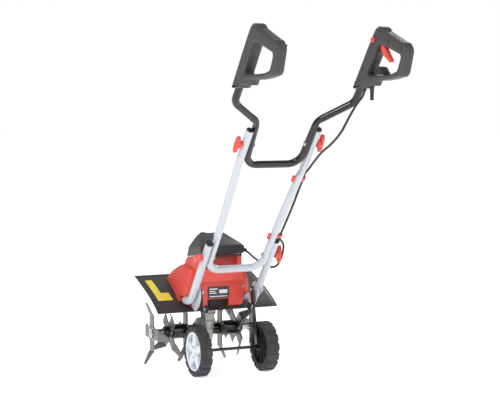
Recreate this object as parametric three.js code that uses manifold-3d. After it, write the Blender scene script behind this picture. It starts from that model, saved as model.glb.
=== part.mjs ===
// Electric tiller, in millimetres, +Z up, +Y forward, +X to the operator's right.
// Heights count from the ground. Lengths along Y count from the wheel axle, and the last
// lines move the whole machine so that the origin is under the middle of its bounding box.

import * as THREE from 'three';
import { ConvexGeometry } from 'three/addons/geometries/ConvexGeometry.js';
import { mergeVertices } from 'three/addons/utils/BufferGeometryUtils.js';
import Module from 'manifold-3d';

const wasm = await Module();
wasm.setup();

// ---------------------------------------------------------------- driving dimensions
const gap = 0.3; // left between touching pieces
const originY = 208.5; // from the bounding box's middle to the axle

const wheel = { radius: 80, width: 39, x: 115, rim: 61.5, lugs: 15, lugHeight: 4, spokes: 5 };
const axle = { z: 80, radius: 5, half: 141 };

const tines = { y: 245, z: 104, reach: 104, stars: [62, 121.5, 181], plate: 3.5, arm: 38 };
const shaft = { radius: 8, endRadius: 12, hubRadius: 19, hubStart: 25, hubEnd: 139 };

const worm = { teeth: 24, wheelRadius: 30, radius: 8, toothHeight: 4 };
const motorLean = THREE.MathUtils.degToRad(14); // the motor's top leans to the operator
const motor = { radius: 39, start: 176, length: 78 };

const whiteTube = { radius: 12, wall: 1.5 };
const blackTube = { radius: 11, wall: 1.5 };
const handleLean = { y: -56, z: 383, run: -0.824 }; // the line of both handlebars, seen sideways
const tubeGapX = 100.6; // the plane in which neighbouring tubes are pressed flat

const lowerPivot = { y: -56, z: 383 };
const upperPivot = { y: -354, z: 745 };
const wheelPivot = { y: 43, z: 262 };

const plate = { x: 97.7, thick: 3 };
const arm = { x: 87, thick: 5, half: 8 };

const guard = { half: 211, thick: 2.5, rear: [105, 188], bulge: [160, 232], front: [330, 283] };

const grip = { x: 190, half: 18, round: 6 };
const cable = { radius: 3.5, sides: 8 };

// ---------------------------------------------------------------- materials
const paint = (color, roughness, metalness = 0) =>
  new THREE.MeshStandardMaterial({ color, roughness, metalness });
const redPlastic = paint(0xd9463c, 0.42);
const greyPlastic = paint(0x4b4a4a, 0.6);
const blackPlastic = paint(0x26262a, 0.55);
const whiteEnamel = paint(0xe9ebee, 0.3, 0.1);
const blackEnamel = paint(0x1d1d1f, 0.3, 0.1);
const tyreRubber = paint(0x3c3b3d, 0.85);
const whitePlastic = paint(0xe4e7ec, 0.45);
const tineSteel = paint(0x8b8986, 0.45, 0.9);
const steel = paint(0xa4a6a8, 0.35, 0.9);
const castAluminium = paint(0xb9bab3, 0.5, 0.8);
const copper = paint(0xb06a3a, 0.45, 0.8);
const bronze = paint(0xb08a4a, 0.4, 0.8);

// ---------------------------------------------------------------- geometry helpers
const v = (x, y, z) => new THREE.Vector3(x, y, z);

function toSolid(geometry) {
  const bare = geometry.clone();
  bare.deleteAttribute('normal');
  bare.deleteAttribute('uv');
  const merged = mergeVertices(bare, 1e-4);
  const mesh = new wasm.Mesh({
    numProp: 3,
    vertProperties: new Float32Array(merged.attributes.position.array),
    triVerts: new Uint32Array(merged.index.array),
  });
  mesh.merge();
  return new wasm.Manifold(mesh);
}

function toGeometry(solid) {
  const mesh = solid.getMesh();
  const geometry = new THREE.BufferGeometry();
  geometry.setAttribute('position', new THREE.BufferAttribute(mesh.vertProperties, 3));
  geometry.setIndex(new THREE.BufferAttribute(mesh.triVerts, 1));
  return geometry;
}

function cut(geometry, ...tools) {
  return toGeometry(tools.reduce((left, tool) => left.subtract(toSolid(tool)), toSolid(geometry)));
}

function join(...pieces) {
  const [first, ...others] = pieces.map(toSolid);
  return toGeometry(others.reduce((sum, piece) => sum.add(piece), first));
}

function common(geometry, other) {
  return toGeometry(toSolid(geometry).intersect(toSolid(other)));
}

const hull = (points) => new ConvexGeometry(points.map((point) => v(...point)));

// Each point is given once, for the right-hand side, and is mirrored to the left.
const mirroredHull = (points) => hull(points.flatMap(([x, y, z]) => [[x, y, z], [-x, y, z]]));

const block = (low, high) => {
  const box = new THREE.BoxGeometry(high[0] - low[0], high[1] - low[1], high[2] - low[2]);
  return box.translate((low[0] + high[0]) / 2, (low[1] + high[1]) / 2, (low[2] + high[2]) / 2);
};

// A round bar along X, from x1 to x2.
function barX(radius, x1, x2, y, z, sides = 24) {
  const bar = new THREE.CylinderGeometry(radius, radius, Math.abs(x2 - x1), sides);
  return bar.rotateZ(Math.PI / 2).translate((x1 + x2) / 2, y, z);
}

// A flat shape drawn in (y, z), made thick along X from x1 to x2.
function plateX(shape, x1, x2, bevel = 0) {
  const depth = x2 - x1 - 2 * bevel;
  const options = { depth, bevelEnabled: bevel > 0, bevelSize: bevel, bevelThickness: bevel,
    bevelSegments: 1, curveSegments: 5, bevelOffset: -bevel };
  const solid = new THREE.ExtrudeGeometry(shape, options);
  solid.applyMatrix4(new THREE.Matrix4().makeBasis(v(0, 1, 0), v(0, 0, 1), v(1, 0, 0)));
  return solid.translate(x1 + bevel, 0, 0);
}

function outline(points) {
  return new THREE.Shape(points.map(([y, z]) => new THREE.Vector2(y, z)));
}

// A round hole whose flats, not its corners, lie on the radius.
function circleHole(y, z, radius, sideCount = radius > 30 ? 36 : 16) {
  const corners = Array.from({ length: sideCount }, (_, i) => {
    const angle = (-2 * Math.PI * i) / sideCount;
    const reach = radius / Math.cos(Math.PI / sideCount);
    return new THREE.Vector2(y + reach * Math.cos(angle), z + reach * Math.sin(angle));
  });
  return new THREE.Path(corners);
}

// A line through corners, each with its own bend radius, as a tube bender makes it.
class BentLine extends THREE.Curve {
  constructor(corners) {
    super();
    this.points = [v(...corners[0])];
    for (let i = 1; i < corners.length - 1; i += 1) {
      const [x, y, z, radius, steps = 5] = corners[i];
      const corner = v(x, y, z);
      if (!radius) {
        this.points.push(corner);
        continue;
      }
      const back = v(...corners[i - 1]).sub(corner).normalize();
      const ahead = v(...corners[i + 1]).sub(corner).normalize();
      const reach = radius / Math.tan(back.angleTo(ahead) / 2);
      const start = corner.clone().addScaledVector(back, reach);
      const end = corner.clone().addScaledVector(ahead, reach);
      this.points.push(...new THREE.QuadraticBezierCurve3(start, corner, end).getPoints(steps));
    }
    this.points.push(v(...corners.at(-1)));
  }

  getPoint(t) {
    const last = this.points.length - 1;
    const index = Math.min(Math.floor(t * last + 1e-9), last - 1);
    return this.points[index].clone().lerp(this.points[index + 1], t * last - index);
  }

  getPointAt(u) {
    return this.getPoint(u);
  }

  getTangentAt(u) {
    const step = 0.5 / this.points.length;
    const ahead = this.getPoint(Math.min(u + step, 1));
    return ahead.sub(this.getPoint(Math.max(u - step, 0))).normalize();
  }
}

function sweep(curve, radius, sides, steps) {
  const section = new THREE.Shape(
    Array.from({ length: sides }, (_, i) => {
      const angle = (2 * Math.PI * (i + 0.5)) / sides;
      return new THREE.Vector2(radius * Math.cos(angle), radius * Math.sin(angle));
    }),
  );
  return new THREE.ExtrudeGeometry(section, { steps, bevelEnabled: false, extrudePath: curve });
}

// A hollow tube. press(x, z, inset) gives a vertex's new x, where a tube is pressed flat.
function hollowTube(corners, size, press = (x) => x) {
  const pressed = (line, radius, sideCount, inset) => {
    const solid = sweep(line, radius, sideCount, line.points.length - 1);
    const position = solid.attributes.position;
    for (let i = 0; i < position.count; i += 1) {
      position.setX(i, press(position.getX(i), position.getZ(i), inset));
    }
    return solid;
  };
  const outer = new BentLine(corners);
  const inner = new BentLine(corners);
  const stretch = (end, next) => end.add(end.clone().sub(next).normalize().multiplyScalar(3));
  stretch(inner.points[0], inner.points[1]);
  stretch(inner.points.at(-1), inner.points.at(-2));
  const bore = pressed(inner, size.radius - size.wall, 8, size.wall);
  return cut(pressed(outer, size.radius, 12, 0), bore);
}

const mirrorCorners = (half) => {
  const left = half.map(([x, ...rest]) => [-x, ...rest]);
  return [...left, ...half.toReversed()];
};

// ---------------------------------------------------------------- the scene graph
const tiller = new THREE.Group();

function piece(name, geometry, material) {
  const mesh = new THREE.Mesh(geometry, material);
  mesh.name = name;
  tiller.add(mesh);
  return mesh;
}

const sides = [['left', -1], ['right', 1]];

// ---------------------------------------------------------------- tine guard
const guardCurve = new THREE.QuadraticBezierCurve(
  new THREE.Vector2(...guard.rear),
  new THREE.Vector2(...guard.bulge),
  new THREE.Vector2(...guard.front),
);

// The guard's section, or with a greater height the space that holds the guard and all below it.
function underGuardCurve(above, below) {
  const line = guardCurve.getPoints(10);
  const top = line.map((point) => [point.x, point.y + above]);
  const bottom = line.map((point) => [point.x, point.y - below]).reverse();
  return outline([...top, ...bottom]);
}

function makeGuard() {
  const sheet = plateX(underGuardCurve(guard.thick, 0), -guard.half, guard.half);
  const gearOpening = block([-27, 138, 150], [27, 222, 290]);
  piece('tine_guard', cut(sheet, gearOpening), greyPlastic);
}

// ---------------------------------------------------------------- motor housing and cap
const skirtHull = [
  [80, 112, 198], [127, 142, 205], [109, 317, 272],
  [108, 108, 284], [92, 118, 326], [97, 200, 334], [95, 268, 310], [88, 303, 290],
];
const towerHull = [[83, 95, 280], [86, 245, 290], [76, 88, 373.4], [73, 206, 357.6]];
const capHull = [
  [75, 72, 376], [72, 209, 358], [75, 71, 405], [36, 168, 442], [44, 190, 428], [66, 208, 390],
];
const shellWall = 3.5;

// Moves a hull's points towards its middle by the wall's thickness along each axis.
function inset(points, amount, middle) {
  return points.map(([x, y, z]) => [
    x - amount,
    y + Math.sign(middle[0] - y) * amount,
    z + Math.sign(middle[1] - z) * amount,
  ]);
}

function makeHousing() {
  const skirtRoom = inset(skirtHull, shellWall, [210, 270]);
  const skirtFloor = skirtRoom.slice(0, 3).map(([x, y, z]) => [x, y, z - 60]);
  const towerRoom = inset(towerHull, shellWall, [150, 330]);
  const towerMouth = towerRoom.slice(2).flatMap(([x, y, z]) => [[x, y, z - 1], [x, y, z + 40]]);
  const towerFloor = towerRoom.slice(0, 2).map(([x, y, z]) => [x, y, z - 20]);
  const recess = block([-60, 60, 326], [60, 101, 368]);
  const recessBack = block([-63, 89, 322], [63, 104, 372]);
  const plateNotch = block([-39, 90, 150], [39, 150, 226]);
  const frameSlot = barX(13, -150, 150, 140, 227);
  const frameMouth = sides.map(([, s]) => block([Math.min(s * 90, s * 140), 60, 190],
    [Math.max(s * 90, s * 140), 153, 240]));
  const overGuard = plateX(underGuardCurve(guard.thick + gap, 120), -150, 150);
  const outside = join(mirroredHull(skirtHull), mirroredHull(towerHull));
  const rooms = join(mirroredHull([...skirtRoom, ...skirtFloor]),
    mirroredHull([...towerRoom, ...towerFloor]), mirroredHull(towerMouth));
  const keptBack = common(recessBack, mirroredHull(towerHull));
  const shell = cut(outside, cut(rooms, keptBack), recess, plateNotch, overGuard,
    frameSlot, ...frameMouth);
  piece('housing_shell', shell, redPlastic);
}

function makeCap() {
  const room = inset(capHull, shellWall, [145, 340]);
  const roomFloor = room.slice(0, 2).map(([x, y, z]) => [x, y, z - 30]);
  const saddle = new THREE.CylinderGeometry(90, 90, 300, 48).translate(0, 130, 526);
  const cap = cut(mirroredHull(capHull), mirroredHull([...room, ...roomFloor]), saddle);
  piece('motor_cap', cap.translate(0, 0, gap), greyPlastic);
}

// ---------------------------------------------------------------- motor and gears
// The motor's own frame: its axis is local Z, and local Z = 0 is level with the worm's middle.
const wormDistance = worm.wheelRadius + worm.radius;
const motorFrame = new THREE.Matrix4().makeRotationX(motorLean).setPosition(
  0,
  tines.y - wormDistance * Math.cos(motorLean),
  tines.z - wormDistance * Math.sin(motorLean),
);

const onMotorAxis = (geometry) => geometry.applyMatrix4(motorFrame);

function post(radius, from, to, sideCount = 24) {
  const bar = new THREE.CylinderGeometry(radius, radius, to - from, sideCount);
  return bar.rotateX(Math.PI / 2).translate(0, 0, (from + to) / 2);
}

function makeMotor() {
  const top = motor.start + motor.length;
  const stator = cut(post(motor.radius, motor.start, top, 32), post(27, motor.start - 5, top + 5));
  piece('motor_stator', onMotorAxis(stator), steel);
  const core = cut(post(25.5, motor.start + 6, top - 6), post(7.3, motor.start, top));
  piece('motor_armature', onMotorAxis(core), copper);

  const pitch = (2 * Math.PI * worm.wheelRadius) / worm.teeth;
  const turns = 3;
  const helix = new THREE.Curve();
  helix.getPoint = (t) => {
    const angle = 2 * Math.PI * turns * (t - 0.5) - Math.PI / 2;
    const reach = worm.radius - 0.5;
    return v(reach * Math.cos(angle), -reach * Math.sin(angle), -pitch * turns * (t - 0.5));
  };
  const thread = sweep(helix, 1.7, 4, 30);
  const wormShaft = join(post(6.4, -16, 21, 20), thread, post(7, 20, top + 24, 20));
  piece('worm_shaft', onMotorAxis(wormShaft), steel);

  const blades = Array.from({ length: 8 }, (_, i) => {
    const blade = block([9, -1, top + 4], [30, 1, top + 14]);
    return blade.rotateZ((i * Math.PI) / 4);
  });
  const fan = join(post(31, top + 2, top + 5), post(12, top + 2, top + 15), ...blades);
  piece('cooling_fan', onMotorAxis(cut(fan, post(7.3, top, top + 20, 20))), blackPlastic);
}

function makeWormWheel() {
  const tooth = (2 * Math.PI) / worm.teeth;
  const root = worm.wheelRadius - worm.toothHeight + 1.2;
  const crest = worm.wheelRadius + 1.1;
  const rim = new THREE.Shape();
  for (let i = 0; i < worm.teeth; i += 1) {
    // A gap of the teeth faces the worm at rest.
    const middle = Math.PI + motorLean + (i + 0.5) * tooth;
    const corners = [[root, -0.3], [crest, -0.13], [crest, 0.13], [root, 0.3]];
    for (const [radius, share] of corners) {
      const angle = middle + share * tooth;
      const y = tines.y + radius * Math.cos(angle);
      const z = tines.z + radius * Math.sin(angle);
      if (i === 0 && share === -0.3) rim.moveTo(y, z);
      else rim.lineTo(y, z);
    }
  }
  rim.closePath();
  rim.holes.push(circleHole(tines.y, tines.z, shaft.radius + gap));
  piece('worm_wheel', plateX(rim, -5.5, 5.5), bronze);
}

function makeGearCase() {
  const drum = barX(41, -22, 22, tines.y, tines.z, 32);
  const neck = onMotorAxis(post(20.5, -24, 170));
  const flange = onMotorAxis(post(37, 163, 170, 32));
  const wheelRoom = barX(35, -12, 12, tines.y, tines.z, 32);
  const wormRoom = onMotorAxis(post(12.5, -18, 175));
  const bore = barX(shaft.radius + 0.5, -30, 30, tines.y, tines.z);
  const seats = sides.map(([, s]) => barX(16.3, s * 13, s * 30, tines.y, tines.z));
  const gearCase = cut(join(drum, neck, flange), wheelRoom, wormRoom, bore, ...seats);
  for (const [side, s] of sides) {
    const half = s < 0 ? block([-60, 100, 0], [-gap / 2, 350, 400])
      : block([gap / 2, 100, 0], [60, 350, 400]);
    piece(`gear_case_${side}`, common(gearCase, half), castAluminium);
    const ring = cut(barX(16, s * 13.3, s * 21.7, tines.y, tines.z),
      barX(shaft.radius + gap, s * 10, s * 25, tines.y, tines.z));
    piece(`shaft_bearing_${side}`, ring, steel);
  }
}

// ---------------------------------------------------------------- tine rotor
// Four arms, by turns bent outwards and inwards, around a ring that fits over the hub.
function makeStar(name, x, outward, turn, bore) {
  const half = tines.plate / 2;
  const arms = [0, 1, 2, 3].map((i) => {
    const bend = (i % 2 === 0 ? outward : -outward);
    const width = tines.arm / 2;
    const bar = hull([[-half, -width, 12], [half, -width, 12], [-half, width, 12],
      [half, width, 12], [-half, -width, 66], [half, -width, 66],
      [-half, width, 58], [half, width, 58]]);
    const tip = hull([[-half, -width, 65], [half, -width, 65], [-half, width, 57],
      [half, width, 57], [bend * 23 - half, -width + 3, tines.reach],
      [bend * 23 + half, -width + 3, tines.reach], [bend * 24 - half, -width + 17, tines.reach],
      [bend * 24 + half, -width + 17, tines.reach]]);
    return join(bar, tip).rotateX((i * Math.PI) / 2 + turn);
  });
  const disc = barX(30, -half, half, 0, 0, 20);
  const star = cut(join(disc, ...arms), barX(bore, -20, 20, 0, 0));
  piece(name, star.translate(x, tines.y, tines.z), tineSteel);
}

function makeRotor() {
  const spindle = join(barX(shaft.radius, -150, 150, tines.y, tines.z),
    ...sides.map(([, s]) => barX(shaft.endRadius, s * 140, s * 188, tines.y, tines.z)));
  piece('tine_shaft', spindle, steel);
  for (const [side, s] of sides) {
    const hub = cut(
      join(barX(shaft.hubRadius, s * shaft.hubStart, s * shaft.hubEnd, tines.y, tines.z),
        barX(25, s * 68, s * 114, tines.y, tines.z, 10)),
      barX(shaft.radius + gap, s * 20, s * 145, tines.y, tines.z),
    );
    piece(`hub_tube_${side}`, hub, blackEnamel);
    tines.stars.forEach((x, i) => {
      const turn = i === 1 ? Math.PI / 4 : 0;
      const bore = (i === 2 ? shaft.endRadius : shaft.hubRadius) + gap;
      makeStar(`tine_star_${side}_${i + 1}`, s * x, s, turn, bore);
    });
  }
}

// ---------------------------------------------------------------- wheels
function makeWheels() {
  const lug = (2 * Math.PI) / wheel.lugs;
  const tread = new THREE.Shape();
  for (let i = 0; i < wheel.lugs; i += 1) {
    const corners = [[0, -0.32], [0, 0.32], [wheel.lugHeight, 0.4], [wheel.lugHeight, 0.6]];
    for (const [drop, share] of corners) {
      // A lug's flat top faces the ground.
      const angle = -Math.PI / 2 + (i + share) * lug;
      const flat = Math.cos(0.32 * lug);
      const radius = drop === 0 ? wheel.radius / flat : wheel.radius - drop;
      const y = radius * Math.cos(angle);
      const z = axle.z + radius * Math.sin(angle);
      if (i === 0 && share === -0.32) tread.moveTo(y, z);
      else tread.lineTo(y, z);
    }
  }
  tread.closePath();
  tread.holes.push(circleHole(0, axle.z, wheel.rim + gap));

  for (const [side, s] of sides) {
    const low = s * wheel.x - wheel.width / 2;
    const high = s * wheel.x + wheel.width / 2;
    const outerLow = s < 0 ? low + 4 : high - 22;
    piece(`tyre_${side}`, plateX(tread, low, high, 2), tyreRubber);
    const rim = cut(barX(wheel.rim, low + 2, high - 2, 0, axle.z, 36),
      barX(wheel.rim - 5, low, high, 0, axle.z, 36));
    const spokes = Array.from({ length: wheel.spokes }, (_, i) => {
      const spoke = block([outerLow + 2, -9, 8], [outerLow + 14, 9, wheel.rim - 3]);
      return spoke.rotateX((2 * Math.PI * i) / wheel.spokes).translate(0, 0, axle.z);
    });
    const boss = barX(15, low + 3, high - 3, 0, axle.z);
    const hub = cut(join(rim, boss, ...spokes), barX(axle.radius + gap, low, high, 0, axle.z));
    piece(`wheel_hub_${side}`, hub, whitePlastic);
  }
}

function makeWheelFrame() {
  piece('axle_rod', barX(axle.radius, -axle.half, axle.half, 0, axle.z, 20), blackEnamel);
  const length = Math.hypot(wheelPivot.y, wheelPivot.z - axle.z);
  const lean = Math.atan2(wheelPivot.y, wheelPivot.z - axle.z);
  const bar = new THREE.Shape();
  bar.absarc(0, length, arm.half + 2, 0, Math.PI, false);
  bar.absarc(0, 0, arm.half + 2, Math.PI, 2 * Math.PI, false);
  bar.holes.push(circleHole(0, length, 5.3), circleHole(0, 0, axle.radius + gap));
  bar.holes.push(circleHole(0, length - 56, 4.4));
  for (const [side, s] of sides) {
    const x1 = s < 0 ? -arm.x - arm.thick : arm.x;
    const strip = plateX(bar, x1, x1 + arm.thick).rotateX(-lean).translate(0, 0, axle.z);
    piece(`wheel_arm_${side}`, strip, blackEnamel);

    const pinY = wheelPivot.y - 56 * Math.sin(lean);
    const pinZ = wheelPivot.z - 56 * Math.cos(lean);
    const knob = cut(barX(13, s * 72, s * 79, pinY, pinZ, 20), barX(8, s * 70, s * 76, pinY, pinZ, 20));
    const pin = join(knob, barX(4, s * 76, s * (plate.x - gap), pinY, pinZ, 16));
    piece(`lock_pin_${side}`, pin, blackPlastic);

    const bolt = join(barX(5, s * 84, s * (plate.x + plate.thick), wheelPivot.y, wheelPivot.z, 16),
      barX(8.5, s * 82, s * (arm.x - gap), wheelPivot.y, wheelPivot.z, 6),
      barX(8, s * (arm.x + arm.thick + gap), s * (plate.x - gap), wheelPivot.y, wheelPivot.z, 16));
    piece(`pivot_bolt_${side}`, bolt, steel);
  }
}

// ---------------------------------------------------------------- base frame
function makeBaseFrame() {
  const half = [[113, -90, 429], [113, 70, 227, 68], [113, 140, 227, 36]];
  const tube = hollowTube(mirrorCorners(half), whiteTube);
  const tab = outline([[12, 262], [30, 272], [48, 259], [34, 240]]);
  const tabs = sides.map(([, s]) => plateX(tab, s < 0 ? -119 : 116, s < 0 ? -116 : 119));
  piece('base_frame', join(tube, ...tabs), whiteEnamel);

  const leaf = new THREE.Shape();
  leaf.moveTo(50, 284);
  leaf.quadraticCurveTo(32, 292, 22, 276);
  leaf.quadraticCurveTo(6, 246, 36, 214);
  leaf.quadraticCurveTo(60, 192, 78, 202);
  leaf.quadraticCurveTo(94, 212, 80, 240);
  leaf.closePath();
  leaf.holes.push(circleHole(70, 213, 4.5));
  leaf.holes.push(circleHole(wheelPivot.y, wheelPivot.z, 5.3));
  const lineUp = new THREE.Vector3(0, -0.621, 0.784);
  for (const [side, s] of sides) {
    const x1 = s < 0 ? -plate.x - plate.thick : plate.x;
    piece(`pivot_plate_${side}`, plateX(leaf, x1, x1 + plate.thick), whiteEnamel);
    const stopper = join(new THREE.CylinderGeometry(12, 12, 5, 20).translate(0, 2.5 + gap, 0),
      new THREE.CylinderGeometry(9.2, 9.2, 18, 20).translate(0, -6, 0));
    stopper.applyQuaternion(new THREE.Quaternion().setFromUnitVectors(v(0, 1, 0), lineUp));
    piece(`frame_cap_${side}`, stopper.translate(s * 113, -90, 429), blackPlastic);
  }
}

// ---------------------------------------------------------------- handlebars
const clipHeights = { upper: 636, lower: 448 };
const clipX = { upper: 122, lower: 118.5 }; // where the clips hold the cable
const onHandle = (z) => handleLean.y + (z - handleLean.z) * handleLean.run;
const ease = THREE.MathUtils.smoothstep;

function makeLowerHandlebar() {
  const half = [[108.5, onHandle(786), 786], [108.5, onHandle(690), 690, 200, 2],
    [107, onHandle(664), 664, 0], [104.7, onHandle(624), 624, 0],
    [98, onHandle(505), 505, 200, 1], [97.4, onHandle(478), 478, 0],
    [96.7, onHandle(444), 444, 0], [94.5, onHandle(340), 340, 46]];
  const press = (x, z, wall) => {
    const outer = tubeGapX + 14 * ease(z, 446, 476) - wall;
    const inner = tubeGapX + 0.4 - 14 * (1 - ease(z, 628, 662)) + wall;
    const reach = z > 560 ? Math.max(Math.abs(x), inner) : Math.min(Math.abs(x), outer);
    return Math.sign(x) * reach;
  };
  const bar = hollowTube(mirrorCorners(half), whiteTube, press);
  const pegHoles = Object.values(clipHeights).map((z) => barX(3.4, 60, 140, onHandle(z), z, 16));
  piece('lower_handlebar', cut(bar, ...pegHoles), whiteEnamel);
  const lineUp = v(0, handleLean.run, 1).normalize();
  for (const [side, s] of sides) {
    const cap = join(new THREE.CylinderGeometry(9, 9, 4, 20).translate(0, 2 + gap, 0),
      new THREE.CylinderGeometry(6.5, 6.5, 16, 20).translate(0, -5, 0));
    cap.applyQuaternion(new THREE.Quaternion().setFromUnitVectors(v(0, 1, 0), lineUp));
    piece(`leg_cap_${side}`, cap.translate(s * 111.3, onHandle(786), 786), blackPlastic);
  }
}

function makeUpperHandlebar() {
  const half = [[190, -560, 982], [190, -462, 866, 36], [97, -407, 812, 44],
    [94.7, onHandle(776), 776, 0], [91, onHandle(722), 722, 0], [88, onHandle(683), 683, 42]];
  const press = (x, z, wall) => {
    const free = Math.max(ease(z, 803, 830), 1 - ease(z, 640, 660));
    return Math.sign(x) * Math.min(Math.abs(x), tubeGapX - 0.3 + 100 * free - wall);
  };
  piece('upper_handlebar', hollowTube(mirrorCorners(half), blackTube, press), blackEnamel);
}

// ---------------------------------------------------------------- wing knobs
function makeKnob(name, s, x, pivot, turn) {
  const wing = new THREE.Shape();
  wing.moveTo(-9, 9);
  wing.quadraticCurveTo(-7, 28, 4, 29);
  wing.quadraticCurveTo(12, 26, 9, 6);
  wing.lineTo(9, -9);
  wing.quadraticCurveTo(7, -28, -4, -29);
  wing.quadraticCurveTo(-12, -26, -9, -6);
  wing.closePath();
  const wings = plateX(wing, Math.min(s * 9, s * 20), Math.max(s * 9, s * 20), 2);
  const knob = join(wings, barX(12, 0, s * 14, 0, 0, 16));
  knob.rotateX(turn).translate(s * x, pivot.y, pivot.z);
  piece(name, knob, redPlastic);
}

// ---------------------------------------------------------------- grips
const gripOutline = [
  [-478, 905], [-484, 918], [-555, 1008], [-594, 1055], [-608, 1070], [-624, 1077],
  [-640, 1073], [-652, 1062], [-735, 1031], [-752, 1026], [-763, 1014], [-766, 1000],
  [-747, 945], [-738, 936], [-690, 929], [-641, 926], [-598, 926], [-588, 912],
  [-542, 912], [-536, 905],
];
const fingerOutline = [
  [-566, 953], [-560, 946], [-572, 942], [-640, 941], [-690, 943], [-722, 949], [-730, 956],
  [-746, 986], [-742, 994], [-652, 1022], [-632, 1026], [-620, 1022],
];

function gripTubeRoom(s) {
  return sweep(new BentLine([[s * grip.x, -560.8, 983], [s * grip.x, -500, 911, 20, 1],
    [s * grip.x, -462, 866]]), blackTube.radius + 0.7, 16, 3);
}

function makeGrips() {
  const shape = outline(gripOutline);
  const holeShape = outline(fingerOutline);
  for (const [side, s] of sides) {
    const x1 = s * grip.x - grip.half;
    const x2 = s * grip.x + grip.half;
    const whole = cut(plateX(shape, x1, x2, grip.round),
      plateX(holeShape, x1 - 5, x2 + 5), gripTubeRoom(s));
    const switchRoom = block([s * grip.x - 11, -617, 1022], [s * grip.x + 11, -589, 1056]);
    const buttonRoom = barX(8.7, 160, 180, -602, 1040, 20);
    const triggerSlot = block([181.5, -660, 1003], [198.5, -612, 1046]);
    const rooms = side === 'right' ? [switchRoom, buttonRoom, triggerSlot] : [switchRoom];
    const hollow = cut(whole, ...rooms);
    const inner = block([-grip.x + gap / 2, -900, 800], [grip.x - gap / 2, -400, 1200]);
    piece(`${side}_grip_inner`, common(hollow, inner), greyPlastic);
    piece(`${side}_grip_outer`, cut(hollow, block([-grip.x - gap / 2, -900, 800],
      [grip.x + gap / 2, -400, 1200])), greyPlastic);
  }
}

function makeSwitch() {
  piece('switch_body', block([183, -611, 1024.3], [200.5, -589.6, 1054]), blackPlastic);
  const button = join(barX(8, 165, 176, -602, 1040, 20), barX(3, 175, 178.6, -602, 1040, 12));
  piece('lock_button', button, redPlastic);

  const lever = new THREE.Shape();
  lever.moveTo(-615, 1038);
  lever.lineTo(-618, 1026);
  lever.quadraticCurveTo(-622, 1000, -640, 990);
  lever.quadraticCurveTo(-660, 982, -667, 976);
  lever.quadraticCurveTo(-676, 974, -675, 984);
  lever.quadraticCurveTo(-658, 1000, -648, 1016);
  lever.lineTo(-632, 1040);
  lever.closePath();
  piece('trigger', plateX(lever, 183, 197, 1.5), redPlastic);

  const hook = outline([[-598, 942.4], [-600, 950], [-612, 966], [-628, 964], [-650, 942.4]]);
  piece('cord_hook', plateX(hook, 178, 202, 1), blackPlastic);
  const sleeve = new THREE.LatheGeometry([[0, 0], [7.5, 0], [7.5, -4], [5.6, -10], [5.2, -40],
    [3.6, -40], [3.6, -6], [0, -6]].toReversed().map(([r, z]) => new THREE.Vector2(r, z)), 14);
  sleeve.rotateX(Math.PI / 2).translate(grip.x, -563, 911.6);
  piece('inlet_sleeve', sleeve, blackPlastic);
}

// ---------------------------------------------------------------- cable and its clips

// The leg's middle at a height, on the right-hand side.
function legX(z) {
  return z > 505 ? THREE.MathUtils.mapLinear(z, 505, 690, 98, 108.5)
    : THREE.MathUtils.mapLinear(z, 340, 505, 94.5, 98);
}

// A peg through the leg: a winged head inboard, and a ring for the cable outboard.
function makeClip(level) {
  const z = clipHeights[level];
  const lean = new THREE.Quaternion().setFromUnitVectors(v(0, 1, 0), v(0, handleLean.run, 1).normalize());
  const x = legX(z);
  const reach = clipX[level] - x;
  const round = (radius, at, length) => new THREE.CylinderGeometry(radius, radius, length, 20)
    .translate(at, 0, 0).applyQuaternion(lean);
  const saddle = new THREE.BoxGeometry(8, 14, 10).translate(reach - 4, 0, 0).applyQuaternion(lean);
  const ring = cut(join(round(7, reach, 14), saddle), round(12.5, 0, 40));
  const ends = [-7, 7].map((up) => new THREE.CylinderGeometry(5, 5, 8, 16).rotateZ(Math.PI / 2)
    .translate(-17, up, 0).applyQuaternion(lean));
  const head = join(...ends, new THREE.BoxGeometry(8, 14, 8).translate(-17, 0, 0).applyQuaternion(lean));
  const clip = cut(join(ring, head, barX(3, -16, reach - 4, 0, 0, 16)),
    round(cable.radius + 2 * gap, reach, 40));
  piece(`cable_clip_${level}`, clip.translate(x, onHandle(z), z), redPlastic);
}

function cableRun(name, points, steps) {
  const curve = new THREE.CatmullRomCurve3(points.map((point) => v(...point)), false, 'centripetal');
  piece(name, sweep(curve, cable.radius, cable.sides, steps), blackPlastic);
}

function makeCable() {
  const { lower: low, upper: high } = clipHeights;
  const { lower: lowX, upper: highX } = clipX;
  cableRun('cable_lower', [
    [76.4, 84, 386], [83, 82.6, 384], [91, 72, 377], [99, 56, 366], [108, 38, 355], [118, 20, 346],
    [129, 4, 340], [139, -8, 336], [147, -24, 342], [150.8, -42, 359], [151.2, -60, 386],
    [146.5, -77, 408], [138, -90, 422], [127, -99, 432],
    [lowX, onHandle(low - 7.6), low - 7.6], [lowX, onHandle(low - 2.5), low - 2.5],
  ], 30);
  cableRun('cable_middle', [
    [lowX, onHandle(low - 2), low - 2], [lowX + 1, onHandle(low + 20), low + 20],
    [highX + 1, onHandle(540) + 1, 540], [highX, onHandle(high - 20), high - 20],
    [highX, onHandle(high + 7.5), high + 7.5],
  ], 16);
  cableRun('cable_upper', [
    [highX, onHandle(high + 8), high + 8], [highX, onHandle(high + 16), high + 16],
    [122, -300, 665], [121, -336, 688], [120, -392, 720], [124, -448, 748], [132, -490, 782], [144, -512, 822], [162, -522, 858],
    [183, -524, 886], [190, -522, 902.8],
  ], 30);
}

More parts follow.
